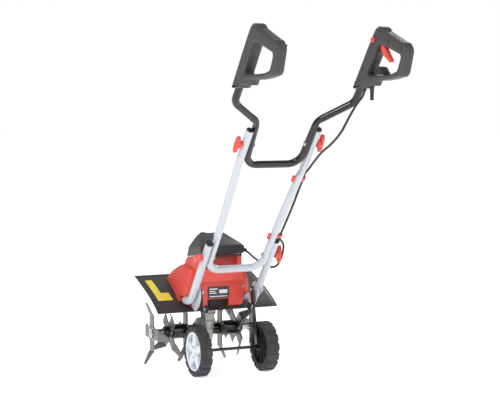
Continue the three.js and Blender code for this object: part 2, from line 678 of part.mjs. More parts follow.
// ---------------------------------------------------------------- assembly
makeGuard();
makeHousing();
makeCap();
makeMotor();
makeWormWheel();
makeGearCase();
makeRotor();
makeWheels();
makeWheelFrame();
makeBaseFrame();
makeLowerHandlebar();
makeUpperHandlebar();
for (const [side, s] of sides) {
  makeKnob(`lower_knob_${side}`, s, 126, lowerPivot, s < 0 ? 1.2 : 0.2);
  makeKnob(`upper_knob_${side}`, s, 121.5, upperPivot, s < 0 ? 0.75 : 0.6);
}
makeGrips();
makeSwitch();
makeClip('lower');
makeClip('upper');
makeCable();

const machine = new THREE.Group();
tiller.position.y = originY;
machine.add(tiller);

export default machine;
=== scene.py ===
import math

import bmesh
import bpy
from mathutils import Matrix, Quaternion, Vector


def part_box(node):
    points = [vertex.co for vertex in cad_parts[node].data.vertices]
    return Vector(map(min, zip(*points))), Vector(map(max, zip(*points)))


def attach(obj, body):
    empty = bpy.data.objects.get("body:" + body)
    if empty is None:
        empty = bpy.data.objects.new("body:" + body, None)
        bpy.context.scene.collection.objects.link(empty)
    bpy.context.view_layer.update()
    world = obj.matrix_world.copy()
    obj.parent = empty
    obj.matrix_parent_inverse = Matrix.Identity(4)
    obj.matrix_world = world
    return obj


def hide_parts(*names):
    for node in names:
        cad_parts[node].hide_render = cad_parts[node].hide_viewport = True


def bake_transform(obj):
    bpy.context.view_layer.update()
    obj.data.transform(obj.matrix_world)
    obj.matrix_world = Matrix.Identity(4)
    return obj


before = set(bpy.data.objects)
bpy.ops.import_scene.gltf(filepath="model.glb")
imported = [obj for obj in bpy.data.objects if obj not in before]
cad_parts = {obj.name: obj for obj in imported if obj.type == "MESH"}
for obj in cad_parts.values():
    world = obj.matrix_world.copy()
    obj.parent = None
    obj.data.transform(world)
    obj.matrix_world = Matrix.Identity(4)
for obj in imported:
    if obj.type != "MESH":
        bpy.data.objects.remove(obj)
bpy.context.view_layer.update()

# Lengths are in millimetres. Along Y they count from the wheel axle, up they count from the ground.
axleY = sum(corner[1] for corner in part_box("axle_rod")) / 2
sides = {"left": -1, "right": 1}
gripX = 190  # the plane in which the two shells of a grip meet


def at(x, y, z):
    return Vector((x / 1000, axleY + y / 1000, z / 1000))


def ease(value, low, high):
    share = min(max((value - low) / (high - low), 0), 1)
    return share * share * (3 - 2 * share)


# ---- shader maths


class Field:
    # A shader socket that can stand in a sum or a product.
    def __init__(self, tree, socket):
        self.tree = tree
        self.socket = socket

    def pair(self, operation, first, second):
        node = self.tree.nodes.new("ShaderNodeMath")
        node.operation = operation
        plug(self.tree, node.inputs[0], first)
        plug(self.tree, node.inputs[1], second)
        return Field(self.tree, node.outputs[0])

    def __add__(self, other):
        return self.pair("ADD", self, other)

    def __radd__(self, other):
        return self.pair("ADD", other, self)

    def __sub__(self, other):
        return self.pair("SUBTRACT", self, other)

    def __rsub__(self, other):
        return self.pair("SUBTRACT", other, self)

    def __mul__(self, other):
        return self.pair("MULTIPLY", self, other)

    def __abs__(self):
        return self.pair("ABSOLUTE", self, 0)

    def atMost(self, limit):
        return self.pair("MINIMUM", self, limit)

    def atLeast(self, limit):
        return self.pair("MAXIMUM", self, limit)


def plug(tree, socket, value):
    if isinstance(value, Field):
        tree.links.new(value.socket, socket)
    else:
        socket.default_value = value


class Finish:
    def __init__(self, name):
        self.material = bpy.data.materials.new(name)
        self.material.use_nodes = True
        self.tree = self.material.node_tree
        self.shader = self.tree.nodes["Principled BSDF"]
        self.coords = self.node("ShaderNodeTexCoord", output="Object")

    def node(self, kind, settings=None, values=None, output=0):
        node = self.tree.nodes.new(kind)
        for key, value in (settings or {}).items():
            setattr(node, key, value)
        for key, value in (values or {}).items():
            plug(self.tree, node.inputs[key], value)
        return Field(self.tree, node.outputs[output])

    def noise(self, scale, detail=2, stretch=None):
        coords = self.coords
        if stretch:
            coords = self.node("ShaderNodeVectorMath", {"operation": "MULTIPLY"}, {0: coords, 1: stretch})
        return self.node("ShaderNodeTexNoise", None, {"Vector": coords, "Scale": scale, "Detail": detail})

    def place(self, letter):
        return self.node("ShaderNodeSeparateXYZ", None, {0: self.coords}, letter)

    def mix(self, factor, first, second):
        node = self.tree.nodes.new("ShaderNodeMix")
        node.data_type = "RGBA"
        plug(self.tree, node.inputs[0], factor)
        plug(self.tree, node.inputs[6], first)
        plug(self.tree, node.inputs[7], second)
        return Field(self.tree, node.outputs[2])

    def put(self, **sockets):
        for name, value in sockets.items():
            plug(self.tree, self.shader.inputs[socketNames[name]], value)

    def bump(self, height, depth):
        # depth is how far, in millimetres, the finest relief stands up
        values = {"Height": height, "Distance": depth / 1000, "Strength": 1.0}
        self.put(normal=self.node("ShaderNodeBump", None, values))


socketNames = {
    "color": "Base Color", "roughness": "Roughness", "metallic": "Metallic", "normal": "Normal",
    "coat": "Coat Weight", "coatRoughness": "Coat Roughness", "specular": "Specular IOR Level",
}


def tone(red, green, blue, factor=1.0):
    # a screen colour from 0 to 255 as the shader's linear colour
    screen = (red / 255, green / 255, blue / 255)
    linear = [c / 12.92 if c < 10 / 255 else ((c + 0.055) / 1.055) ** 2.4 for c in screen]
    return (*[min(c * factor, 1) for c in linear], 1.0)


def moulded(name, color, roughness, grain=1400, depth=0.05, drift=0.08, specular=0.5):
    # injection-moulded plastic: a fine spark-eroded grain and a slow drift in shade and gloss
    finish = Finish(name)
    slow = finish.noise(14)
    fine = finish.noise(grain, 3)
    mark = finish.noise(90, 5)
    shade = (slow * 0.7 + mark * 0.3 - 0.5) * drift * 4
    light = tone(*color, 1 + drift)
    dark = tone(*color, 1 - drift)
    finish.put(
        color=finish.mix((shade + 0.5).atMost(1).atLeast(0), dark, light),
        roughness=roughness + (fine - 0.5) * 0.2 + (slow - 0.5) * 0.12,
        specular=specular,
    )
    finish.bump(fine, depth)
    return finish


def enamelled(name, color, roughness, coat):
    # powder coat on steel: a soft orange peel under a clear surface
    finish = Finish(name)
    peel = finish.noise(150, 1)
    slow = finish.noise(10)
    dust = finish.noise(160, 6)
    shade = (slow * 0.6 + dust * 0.4 - 0.2).atMost(1).atLeast(0)
    finish.put(
        color=finish.mix(shade, tone(*color, 0.93), tone(*color)),
        roughness=roughness + (dust - 0.5) * 0.14,
        coat=coat,
        coatRoughness=0.12,
    )
    finish.bump(peel, 0.01)
    return finish


def bareMetal(name, color, roughness, metallic, stretch, depth, drift=0.2):
    # rolled, turned or cast metal: streaks or grain, and patches of stain
    finish = Finish(name)
    streak = finish.noise(220, 4, stretch)
    stain = finish.noise(26, 6)
    finish.put(
        color=finish.mix(stain * 0.6 + streak * 0.4, tone(*color, 1 - drift), tone(*color, 1 + drift)),
        roughness=(roughness + (streak - 0.5) * 0.25 + (stain - 0.5) * 0.3).atLeast(0.12),
        metallic=metallic,
    )
    finish.bump(streak, depth)
    return finish


def gripFinish():
    # the grip is moulded in two halves, which meet in a fine groove
    finish = moulded("gripPlastic", (62, 61, 60), 0.5, 900, 0.03)
    offset = abs(abs(finish.place("X")) - gripX / 1000)
    groove = 1 - (offset * 1400).atMost(1)
    height = finish.noise(900, 3) * 0.04 - groove * 0.5
    finish.bump(height, 1.0)
    finish.put(color=finish.mix(groove, tone(62, 61, 60), tone(24, 24, 24)))
    return finish


def treadFinish():
    finish = moulded("treadRubber", (62, 61, 63), 0.66, 1100, 0.1, 0.1, 0.35)
    dust = finish.noise(60, 6)
    finish.put(color=finish.mix((dust * 2 - 0.7).atMost(1).atLeast(0), tone(50, 50, 52), tone(74, 73, 75)))
    return finish


finishes = {
    "redPlastic": moulded("redPlastic", (222, 78, 66), 0.38, 1600, 0.02, 0.05),
    # the same red painted darker: painted shade for the recess in the tower
    "redRecessPaintedShade": moulded("redRecessPaintedShade", (180, 48, 44), 0.5, 1600, 0.03, 0.05),
    "capPlastic": moulded("capPlastic", (62, 62, 61), 0.42, 1200, 0.06),
    "guardPlastic": moulded("guardPlastic", (52, 52, 53), 0.36, 1000, 0.05, 0.08),
    "gripPlastic": gripFinish(),
    "blackPlastic": moulded("blackPlastic", (34, 34, 37), 0.45),
    "cableSheath": moulded("cableSheath", (38, 38, 40), 0.5, 600, 0.05),
    "whiteEnamel": enamelled("whiteEnamel", (199, 204, 212), 0.34, 0.25),
    "blackEnamel": enamelled("blackEnamel", (14, 14, 15), 0.22, 0.25),
    "treadRubber": treadFinish(),
    "whitePlastic": moulded("whitePlastic", (222, 227, 238), 0.42, 1500, 0.03, 0.04),
    # near-black painted shade, for the wheels' inner sides and the sheet in the notch
    "hubShade": moulded("hubShade", (24, 24, 26), 0.55),
    "tineSteel": bareMetal("tineSteel", (118, 117, 115), 0.38, 0.6, (1, 1, 1), 0.05, 0.3),
    "brightSteel": bareMetal("brightSteel", (196, 198, 202), 0.28, 1.0, (6, 1, 1), 0.01, 0.08),
    "castAluminium": bareMetal("castAluminium", (188, 187, 180), 0.5, 0.75, (2, 2, 2), 0.12, 0.12),
    "copper": bareMetal("copper", (190, 110, 66), 0.4, 1.0, (1, 1, 8), 0.05),
    "bronze": bareMetal("bronze", (190, 150, 84), 0.35, 1.0, (4, 1, 1), 0.02),
    "yellowLabel": moulded("yellowLabel", (247, 224, 72), 0.4, 300, 0.01, 0.03),
    "darkLabel": moulded("darkLabel", (58, 60, 62), 0.32, 300, 0.01, 0.05),
}
print("finishes made:", len(finishes))


# ---- mesh tools


def toMesh(bm, name):
    bmesh.ops.recalc_face_normals(bm, faces=bm.faces)
    mesh = bpy.data.meshes.new(name)
    bm.to_mesh(mesh)
    bm.free()
    return mesh


def settled(thing):
    # the thing's evaluated shape as a plain mesh; the thing itself goes
    bpy.context.collection.objects.link(thing)
    graph = bpy.context.evaluated_depsgraph_get()
    graph.update()
    mesh = bpy.data.meshes.new_from_object(thing.evaluated_get(graph), depsgraph=graph)
    bpy.data.objects.remove(thing)
    return mesh


def modified(mesh, *steps):
    # steps are (modifier type, settings)
    thing = bpy.data.objects.new("work", mesh)
    for kind, settings in steps:
        modifier = thing.modifiers.new(kind.lower(), kind)
        for key, value in settings.items():
            setattr(modifier, key, value)
    return settled(thing)


def rounded(mesh, width, segments=3, angle=28):
    settings = {"width": width / 1000, "segments": segments, "limit_method": "ANGLE",
                "angle_limit": math.radians(angle), "use_clamp_overlap": True}
    return modified(mesh, ("BEVEL", settings))


def boolean(mesh, tools, operation="DIFFERENCE"):
    for tool in tools:
        helper = bpy.data.objects.new("tool", tool)
        bpy.context.collection.objects.link(helper)
        mesh = modified(mesh, ("BOOLEAN", {"object": helper, "operation": operation, "solver": "EXACT"}))
        bpy.data.objects.remove(helper)
    return mesh


def joined(name, meshes):
    bm = bmesh.new()
    for mesh in meshes:
        bm.from_mesh(mesh)
    whole = bpy.data.meshes.new(name)
    bm.to_mesh(whole)
    bm.free()
    return whole


def cube(centre, size):
    # in metres, from the world's origin
    bm = bmesh.new()
    bmesh.ops.create_cube(bm, size=1)
    bm.transform(Matrix.Translation(centre) @ Matrix.Diagonal((*size, 1)))
    return toMesh(bm, "box")


def box(low, high):
    low, high = at(*low), at(*high)
    return cube((low + high) / 2, high - low)


def hull(points, mirror=True):
    bm = bmesh.new()
    for x, y, z in points:
        bm.verts.new(at(x, y, z))
        if mirror:
            bm.verts.new(at(-x, y, z))
    bmesh.ops.convex_hull(bm, input=bm.verts)
    bmesh.ops.dissolve_limit(bm, angle_limit=0.03, verts=bm.verts, edges=bm.edges)
    return toMesh(bm, "hull")


def bentPath(corners, step=10):
    # A line through corners (x, y, z, bend radius), with true arcs, as a tube bender makes it.
    points = [at(*corners[0][:3])]
    places = [at(*corner[:3]) for corner in corners]
    for i, corner in enumerate(corners[1:-1], 1):
        back = (places[i - 1] - places[i]).normalized()
        ahead = (places[i + 1] - places[i]).normalized()
        turn = math.pi - back.angle(ahead)
        radius = corner[3] / 1000
        reach = radius * math.tan(turn / 2)
        start = places[i] + back * reach
        centre = places[i] + (back + ahead).normalized() * (radius / math.cos(turn / 2))
        points += straight(points[-1], start, step)
        steps = max(2, math.ceil(math.degrees(turn) / 6))
        spin = (start - centre).cross(-back).normalized()
        for k in range(1, steps + 1):
            points.append(centre + Quaternion(spin, turn * k / steps) @ (start - centre))
    return points + straight(points[-1], places[-1], step)


def straight(start, end, step):
    count = max(1, round((end - start).length * 1000 / step))
    return [start.lerp(end, k / count) for k in range(1, count + 1)]


def mirrorPath(half):
    return [(-x, *rest) for x, *rest in half] + half[::-1]


def smoothPath(points, count):
    # a centripetal curve through the points, evenly spaced
    knots = [0.0]
    for a, b in zip(points, points[1:]):
        knots.append(knots[-1] + math.sqrt((b - a).length))
    ends = [points[0] * 2 - points[1], *points, points[-1] * 2 - points[-2]]
    times = [-knots[1], *knots, 2 * knots[-1] - knots[-2]]
    dense = []
    for i in range(1, len(points)):
        p, t = ends[i - 1:i + 3], times[i - 1:i + 3]
        for k in range(12):
            now = t[1] + (t[2] - t[1]) * k / 12
            first = [p[j].lerp(p[j + 1], (now - t[j]) / (t[j + 1] - t[j])) for j in range(3)]
            second = [first[j].lerp(first[j + 1], (now - t[j]) / (t[j + 2] - t[j])) for j in range(2)]
            dense.append(second[0].lerp(second[1], (now - t[1]) / (t[2] - t[1])))
    dense.append(points[-1])
    lengths = [0.0]
    for a, b in zip(dense, dense[1:]):
        lengths.append(lengths[-1] + (b - a).length)
    path, j = [], 0
    for k in range(count + 1):
        goal = lengths[-1] * k / count
        while j < len(dense) - 2 and lengths[j + 1] < goal:
            j += 1
        gap = max(lengths[j + 1] - lengths[j], 1e-9)
        path.append(dense[j].lerp(dense[j + 1], (goal - lengths[j]) / gap))
    return path


def tube(path, radius, count=32, wall=0, press=None):
    # wall leaves the ends open, as on a cut tube; press gives a point's new x, where a tube is pressed
    bm = bmesh.new()
    last = len(path) - 1
    tangents = [(path[min(i + 1, last)] - path[max(i - 1, 0)]).normalized() for i in range(last + 1)]
    side = tangents[0].orthogonal().normalized()
    rings = []

    def ring(centre, tangent, size, inset=0):
        up = tangent.cross(side)
        verts = []
        for i in range(count):
            angle = math.tau * i / count
            place = centre + (side * math.cos(angle) + up * math.sin(angle)) * size / 1000
            if press:
                place.x = press(place.x * 1000, place.z * 1000, inset) / 1000
            verts.append(bm.verts.new(place))
        return verts

    lip = 0.5
    depth = 0.012  # how far an open end can be looked into
    for i, (centre, tangent) in enumerate(zip(path, tangents)):
        if i:
            side = (tangents[i - 1].rotation_difference(tangent) @ side).normalized()
        if i == 0:
            if wall:
                rings.append(ring(centre + tangent * depth, tangent, radius - wall, wall))
                rings.append(ring(centre, tangent, radius - wall, wall))
            rings.append(ring(centre, tangent, radius - lip, lip))
            rings.append(ring(centre + tangent * lip / 1000, tangent, radius))
        elif i == last:
            rings.append(ring(centre - tangent * lip / 1000, tangent, radius))
            rings.append(ring(centre, tangent, radius - lip, lip))
            if wall:
                rings.append(ring(centre, tangent, radius - wall, wall))
                rings.append(ring(centre - tangent * depth, tangent, radius - wall, wall))
        else:
            rings.append(ring(centre, tangent, radius))
    bridge(bm, rings, False)
    bm.faces.new(rings[0])
    bm.faces.new(rings[-1])
    return toMesh(bm, "tube")


def bridge(bm, rings, closed):
    pairs = list(zip(rings, rings[1:])) + ([(rings[-1], rings[0])] if closed else [])
    for first, second in pairs:
        for i in range(max(len(first), len(second))):
            corners = [first[i % len(first)], first[(i + 1) % len(first)],
                       second[(i + 1) % len(second)], second[i % len(second)]]
            bm.faces.new(list(dict.fromkeys(corners)))


def lathe(profile, origin, axis=(1, 0, 0), count=48, closed=False):
    # profile is (distance along the axis, radius); a radius of 0 is a point on the axis
    bm = bmesh.new()
    axis = Vector(axis).normalized()
    side = axis.orthogonal().normalized()
    up = axis.cross(side)
    rings = []
    for along, radius in profile:
        centre = at(*origin) + axis * along / 1000
        if radius == 0:
            rings.append([bm.verts.new(centre)])
            continue
        angles = [math.tau * i / count for i in range(count)]
        spots = [centre + (side * math.cos(a) + up * math.sin(a)) * radius / 1000 for a in angles]
        rings.append([bm.verts.new(spot) for spot in spots])
    bridge(bm, rings, closed)
    return toMesh(bm, "lathe")


def facing(s, profile):
    # the same profile for the left (-1) or the right (1) side
    return [(s * along, radius) for along, radius in profile]


def rod(radius, start, end, origin, axis=(1, 0, 0), count=40, edge=0.8):
    low, high = min(start, end), max(start, end)
    return lathe([(low, 0), (low, radius - edge), (low + edge * 0.3, radius - edge * 0.3),
                  (low + edge, radius), (high - edge, radius), (high - edge * 0.3, radius - edge * 0.3),
                  (high, radius - edge), (high, 0)], origin, axis, count)


def washer(outer, inner, start, end, origin, axis=(1, 0, 0), count=40, edge=0.6):
    low, high = min(start, end), max(start, end)
    return lathe([(low, inner), (low, outer - edge), (low + edge, outer), (high - edge, outer),
                  (high, outer - edge), (high, inner)], origin, axis, count, True)


def softCorners(points, radius, steps=5):
    # points are (y, z) or (y, z, own radius)
    soft = []
    for i, point in enumerate(points):
        corner = Vector(point[:2])
        before = Vector(points[i - 1][:2])
        after = Vector(points[(i + 1) % len(points)][:2])
        back, ahead = before - corner, after - corner
        size = point[2] if len(point) > 2 else radius
        bend = math.pi - back.angle(ahead)
        reach = min(size * math.tan(bend / 2), back.length * 0.49, ahead.length * 0.49)
        start = corner + back.normalized() * reach
        end = corner + ahead.normalized() * reach
        for k in range(steps + 1):
            share = k / steps
            soft.append(start.lerp(corner, share).lerp(corner.lerp(end, share), share))
    return soft


def disc(y, z, radius, count=32):
    angles = [math.tau * i / count for i in range(count)]
    return [Vector((y + radius * math.cos(a), z + radius * math.sin(a))) for a in angles]


def plate(outline, x1, x2, edge, holes=(), rounds=3):
    # a flat shape drawn in (y, z), made thick along X, with rounded edges
    low, high = min(x1, x2), max(x1, x2)
    curve = bpy.data.curves.new("plate", "CURVE")
    curve.dimensions = "2D"
    curve.fill_mode = "BOTH"
    curve.extrude = (high - low) / 2000 - edge / 1000
    curve.bevel_depth = edge / 1000
    curve.bevel_resolution = rounds
    curve.offset = -edge / 1000
    for loop in [outline, *holes]:
        spline = curve.splines.new("POLY")
        spline.points.add(len(loop) - 1)
        for spot, place in zip(spline.points, loop):
            spot.co = (place[0] / 1000, place[1] / 1000, 0, 1)
        spline.use_cyclic_u = True
    mesh = settled(bpy.data.objects.new("plate", curve))
    mesh.transform(Matrix(((0, 0, 1, (low + high) / 2000), (1, 0, 0, axleY), (0, 1, 0, 0), (0, 0, 0, 1))))
    bm = bmesh.new()
    bm.from_mesh(mesh)
    bmesh.ops.remove_doubles(bm, verts=bm.verts, dist=1e-6)
    return toMesh(bm, "plate")


def addPiece(name, mesh, finish, body, *nodes, smooth=32):
    mesh.materials.clear()
    mesh.materials.append(finishes[finish].material)
    mesh.polygons.foreach_set("material_index", [0] * len(mesh.polygons))
    mesh.shade_smooth()
    mesh.set_sharp_from_angle(angle=math.radians(smooth))
    piece = bpy.data.objects.new(name, mesh)
    bpy.context.collection.objects.link(piece)
    if body:
        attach(piece, body)
    if nodes:
        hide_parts(*nodes)
    return piece


# ---- node trees for what repeats


def newTree(name, inputs):
    tree = bpy.data.node_groups.new(name, "GeometryNodeTree")
    tree.interface.new_socket("Geometry", in_out="INPUT", socket_type="NodeSocketGeometry")
    for label, kind in inputs:
        tree.interface.new_socket(label, in_out="INPUT", socket_type="NodeSocket" + kind)
    tree.interface.new_socket("Geometry", in_out="OUTPUT", socket_type="NodeSocketGeometry")
    return tree


def link(tree, *wires):
    for (start, output), (end, socket) in wires:
        tree.links.new(start.outputs[output], end.inputs[socket])


def copiesInRing():
    # turned copies of a shape round the X axis
    tree = newTree("copiesInRing", [("Count", "Int"), ("Finish", "Material")])
    add = tree.nodes.new
    start, end = add("NodeGroupInput"), add("NodeGroupOutput")
    points, index, turn = add("GeometryNodePoints"), add("GeometryNodeInputIndex"), add("ShaderNodeMath")
    share, angles = add("ShaderNodeMath"), add("ShaderNodeCombineXYZ")
    copies, real = add("GeometryNodeInstanceOnPoints"), add("GeometryNodeRealizeInstances")
    paint = add("GeometryNodeSetMaterial")
    share.operation = "DIVIDE"
    share.inputs[0].default_value = math.tau
    turn.operation = "MULTIPLY"
    link(tree, ((start, "Count"), (points, "Count")), ((start, "Count"), (share, 1)),
         ((index, 0), (turn, 0)), ((share, 0), (turn, 1)), ((turn, 0), (angles, "X")),
         ((points, 0), (copies, "Points")), ((start, "Geometry"), (copies, "Instance")),
         ((angles, 0), (copies, "Rotation")), ((copies, 0), (real, 0)), ((real, 0), (paint, "Geometry")),
         ((start, "Finish"), (paint, "Material")), ((paint, 0), (end, 0)))
    return tree


def copiesAtPoints():
    # a copy of another shape at each vertex
    tree = newTree("copiesAtPoints", [("Shape", "Object"), ("Turn", "Rotation"), ("Finish", "Material")])
    add = tree.nodes.new
    start, end = add("NodeGroupInput"), add("NodeGroupOutput")
    info, copies = add("GeometryNodeObjectInfo"), add("GeometryNodeInstanceOnPoints")
    real, paint = add("GeometryNodeRealizeInstances"), add("GeometryNodeSetMaterial")
    link(tree, ((start, "Shape"), (info, 0)), ((info, "Geometry"), (copies, "Instance")),
         ((start, "Turn"), (copies, "Rotation")), ((start, "Geometry"), (copies, "Points")),
         ((copies, 0), (real, 0)), ((real, 0), (paint, "Geometry")),
         ((start, "Finish"), (paint, "Material")), ((paint, 0), (end, 0)))
    return tree


ringTree = copiesInRing()
pointTree = copiesAtPoints()


def runTree(mesh, tree, **inputs):
    thing = bpy.data.objects.new("work", mesh)
    modifier = thing.modifiers.new("copies", "NODES")
    modifier.node_group = tree
    for item in tree.interface.items_tree:
        if item.in_out == "INPUT" and item.name in inputs:
            modifier[item.identifier] = inputs[item.name]
    return settled(thing)


def ringOf(mesh, count, origin, finish):
    # mesh is drawn where it belongs; the copies turn round the X line through origin
    centre = at(*origin)
    mesh.transform(Matrix.Translation(-centre))
    ring = runTree(mesh, ringTree, Count=count, Finish=finishes[finish].material)
    ring.transform(Matrix.Translation(centre))
    return ring


def copiesOf(mesh, points, finish, turn=(0, 0, 0)):
    # mesh is drawn round the world's origin
    helper = bpy.data.objects.new("shape", mesh)
    bpy.context.collection.objects.link(helper)
    spots = bpy.data.meshes.new("spots")
    spots.from_pydata(points, [], [])
    made = runTree(spots, pointTree, Shape=helper, Turn=turn, Finish=finishes[finish].material)
    bpy.data.objects.remove(helper)
    return made


def crossScrew(radius):
    # a pan-head screw with a cross recess, looking along +X
    r = radius
    profile = [(-1.5, 0), (-1.5, r), (0.3, r), (r * 0.35, r * 0.75), (r * 0.45, r * 0.3), (r * 0.45, 0)]
    head = lathe(profile, (0, 0, 0), count=20)
    head.transform(Matrix.Translation((0, -axleY, 0)))
    slots = []
    for wide, high in ((r * 1.1, r * 0.22), (r * 0.22, r * 1.1)):
        slots.append(cube((r * 0.45 / 1000, 0, 0), (0.0008, wide / 1000, high / 1000)))
    return boolean(head, slots)


def hexHead(radius, start, end, origin, s=1):
    low, high = (start, end) if s > 0 else (-end, -start)
    face = high if s > 0 else low
    nut = lathe([(low, 0), (low, radius), (high, radius), (high, 0)], origin, count=6)
    return joined("nut", [rounded(nut, 0.5, 2), rod(radius * 0.62, face - s * 1, face + s * 0.6, origin)])


# ---- tubes: base frame and both handlebars

lean = {"y": -56, "z": 383, "run": -0.824}
pressX = 100.6  # the plane in which neighbouring tubes are pressed flat
bars = {
    "wall": 1.5,
    "base": {"radius": 12, "half": [(113, -90, 429), (113, 70, 227, 68), (113, 140, 227, 36)]},
    "lower": {"radius": 12, "ends": (108.5, 786), "spread": (108.5, 690), "waist": (98, 505),
              "foot": (94.5, 340)},
    "upper": {"radius": 11, "grip": (190, -560, 982), "rise": (190, -462, 866, 36),
              "shoulder": (97, -407, 812, 44), "leg": (91, 722), "foot": (88, 683)},
}


def onHandle(x, z, *rest):
    return (x, lean["y"] + (z - lean["z"]) * lean["run"], z, *rest)


def pressLower(x, z, inset):
    outer = pressX + 14 * ease(z, 446, 476) - inset
    inner = pressX + 0.4 - 14 * (1 - ease(z, 628, 662)) + inset
    size = max(abs(x), inner) if z > 560 else min(abs(x), outer)
    return math.copysign(size, x)


def pressUpper(x, z, inset):
    free = max(ease(z, 803, 830), 1 - ease(z, 640, 660))
    return math.copysign(min(abs(x), pressX - 0.3 + 100 * free - inset), x)


def makeBars():
    base, lower, upper = bars["base"], bars["lower"], bars["upper"]
    mesh = tube(bentPath(mirrorPath(base["half"])), base["radius"], wall=bars["wall"])
    tabs = []
    for s in sides.values():
        tab = softCorners([(12, 262), (30, 273), (48, 259), (36, 244)], 5)
        tabs.append(plate(tab, s * 116, s * 119, 0.8, [disc(22, 260, 2.6)]))
    addPiece("baseTube", joined("baseTube", [mesh, *tabs]), "whiteEnamel", "chassis", "base_frame")

    half = [onHandle(*lower["ends"]), onHandle(*lower["spread"], 200), onHandle(*lower["waist"], 200),
            onHandle(*lower["foot"], 46)]
    mesh = tube(bentPath(mirrorPath(half), 6), lower["radius"], 40, bars["wall"], pressLower)
    addPiece("lowerTube", mesh, "whiteEnamel", "lower_handle", "lower_handlebar", smooth=50)

    half = [upper["grip"], upper["rise"], upper["shoulder"]]
    half += [onHandle(*upper["leg"], 150), onHandle(*upper["foot"], 42)]
    mesh = tube(bentPath(mirrorPath(half), 6), upper["radius"], 40, bars["wall"], pressUpper)
    addPiece("upperTube", mesh, "blackEnamel", "upper_handle", "upper_handlebar", smooth=50)

    down = Vector((0, -0.621, 0.784))
    along = Vector((0, lean["run"], 1)).normalized()
    for side, s in sides.items():
        profile = [(-14, 0), (-14, 9), (0.2, 9.6), (0.3, 11.6), (1.2, 12), (4.2, 12), (5.2, 11), (5.4, 9),
                   (5.4, 0)]
        cap = lathe(profile, (s * 113, -90, 429), down)
        addPiece(f"frameStopper_{side}", cap, "blackPlastic", "chassis", f"frame_cap_{side}")
        profile = [(-12, 0), (-12, 6.4), (0.2, 6.6), (0.3, 8.8), (3.4, 9), (4.1, 8.2), (4.3, 6), (4.3, 0)]
        cap = lathe(profile, onHandle(s * 111.3, 786), along)
        addPiece(f"legStopper_{side}", cap, "blackPlastic", "lower_handle", f"leg_cap_{side}")
    print("tubes made")


makeBars()

# ---- pivot plates, wheel arms and wheels

pivot = {"y": 43, "z": 262, "plateX": 97.7, "plateThick": 3, "armX": 87, "armThick": 5, "armHalf": 10,
         "pinDrop": 56}
pinSpring = {"start": 79.5, "length": 7, "radius": 6, "wire": 0.7, "steps": 90, "twist": 0.42}
axle = {"z": 80, "radius": 5, "half": 141}
wheel = {"x": 115, "width": 39, "radius": 80, "tread": 75.5, "rim": 61.5, "lugs": 15, "spokes": 5}


def quadPoints(start, bend, end, steps=8):
    a, b, c = Vector(start), Vector(bend), Vector(end)
    return [a.lerp(b, k / steps).lerp(b.lerp(c, k / steps), k / steps) for k in range(steps)]


def makeWheelFrame():
    leaf = quadPoints((50, 284), (32, 292), (22, 276)) + quadPoints((22, 276), (6, 246), (36, 214))
    leaf += quadPoints((36, 214), (60, 192), (78, 202)) + quadPoints((78, 202), (94, 212), (80, 240))
    leaf += [Vector((80, 240)), Vector((72, 257)), Vector((62, 271))]
    leafHoles = [disc(70, 213, 4.5), disc(pivot["y"], pivot["z"], 5.3)]
    span = math.hypot(pivot["y"], pivot["z"] - axle["z"])
    tilt = math.atan2(pivot["y"], pivot["z"] - axle["z"])

    def onArm(across, up):
        return Vector((across * math.cos(tilt) + up * math.sin(tilt),
                       axle["z"] - across * math.sin(tilt) + up * math.cos(tilt)))

    half = pivot["armHalf"]
    angles = [math.pi * k / 12 for k in range(13)]
    strip = [onArm(half * math.cos(a), span + half * math.sin(a)) for a in angles]
    strip += [onArm(-half * math.cos(a), -half * math.sin(a)) for a in angles]
    pinSpot = onArm(0, span - pivot["pinDrop"])
    armHoles = [disc(*onArm(0, span), 5.3), disc(*onArm(0, 0), axle["radius"] + 0.3), disc(*pinSpot, 4.4)]
    for side, s in sides.items():
        mesh = plate(leaf, s * pivot["plateX"], s * (pivot["plateX"] + pivot["plateThick"]), 0.7, leafHoles)
        addPiece(f"pivotLeaf_{side}", mesh, "whiteEnamel", "chassis", f"pivot_plate_{side}")
        mesh = plate(strip, s * pivot["armX"], s * (pivot["armX"] + pivot["armThick"]), 0.8, armHoles)
        addPiece(f"wheelArm_{side}", mesh, "blackEnamel", "wheel_frame", f"wheel_arm_{side}")
        spot = (0, pivot["y"], pivot["z"])
        bolt = [rod(5, s * 84, s * 100.7, spot), hexHead(8.2, 82, 86.7, spot, s),
                washer(8, 5.1, s * 92.3, s * 97.4, spot)]
        addPiece(f"pivotBolt_{side}", joined("bolt", bolt), "brightSteel", "chassis", f"pivot_bolt_{side}")
        addPiece(f"lockPin_{side}", lockPin(s, pinSpot), "blackPlastic", f"lock_pin_{side}",
                 f"lock_pin_{side}")
        ring = tube(springPath(s, pinSpot), pinSpring["wire"], 10)
        addPiece(f"pinSpring_{side}", ring, "brightSteel", f"lock_pin_{side}")
    end = axle["half"] - 8
    profile = [(-end, 0), (-end, 4.2), (-end + 1, 5), (end - 1, 5), (end, 4.2), (end, 0)]
    mesh = lathe(profile, (0, 0, axle["z"]), count=32)
    sleeves = [washer(7.4, 5, s * 80.4, s * 86.6, (0, 0, axle["z"])) for s in sides.values()]
    addPiece("axleRod", joined("axleRod", [mesh, *sleeves]), "blackEnamel", "wheel_frame", "axle_rod")


def lockPin(s, spot):
    place = (0, spot.x, spot.y)
    profile = [(79, 0), (79, 9), (78.2, 11), (76, 13), (73.5, 13), (72, 11.4), (72.4, 9), (74.5, 7.5),
               (74.5, 0)]
    pull = lathe(facing(s, profile), place, count=28)
    return joined("lockPin", [pull, rod(4, s * 76, s * 97.4, place)])


def springPath(s, spot):
    path = []
    for k in range(pinSpring["steps"] + 1):
        x = pinSpring["start"] + pinSpring["length"] * k / pinSpring["steps"]
        angle = k * pinSpring["twist"]
        y, z = spot.x + pinSpring["radius"] * math.cos(angle), spot.y + pinSpring["radius"] * math.sin(angle)
        path.append(at(s * x, y, z))
    return path


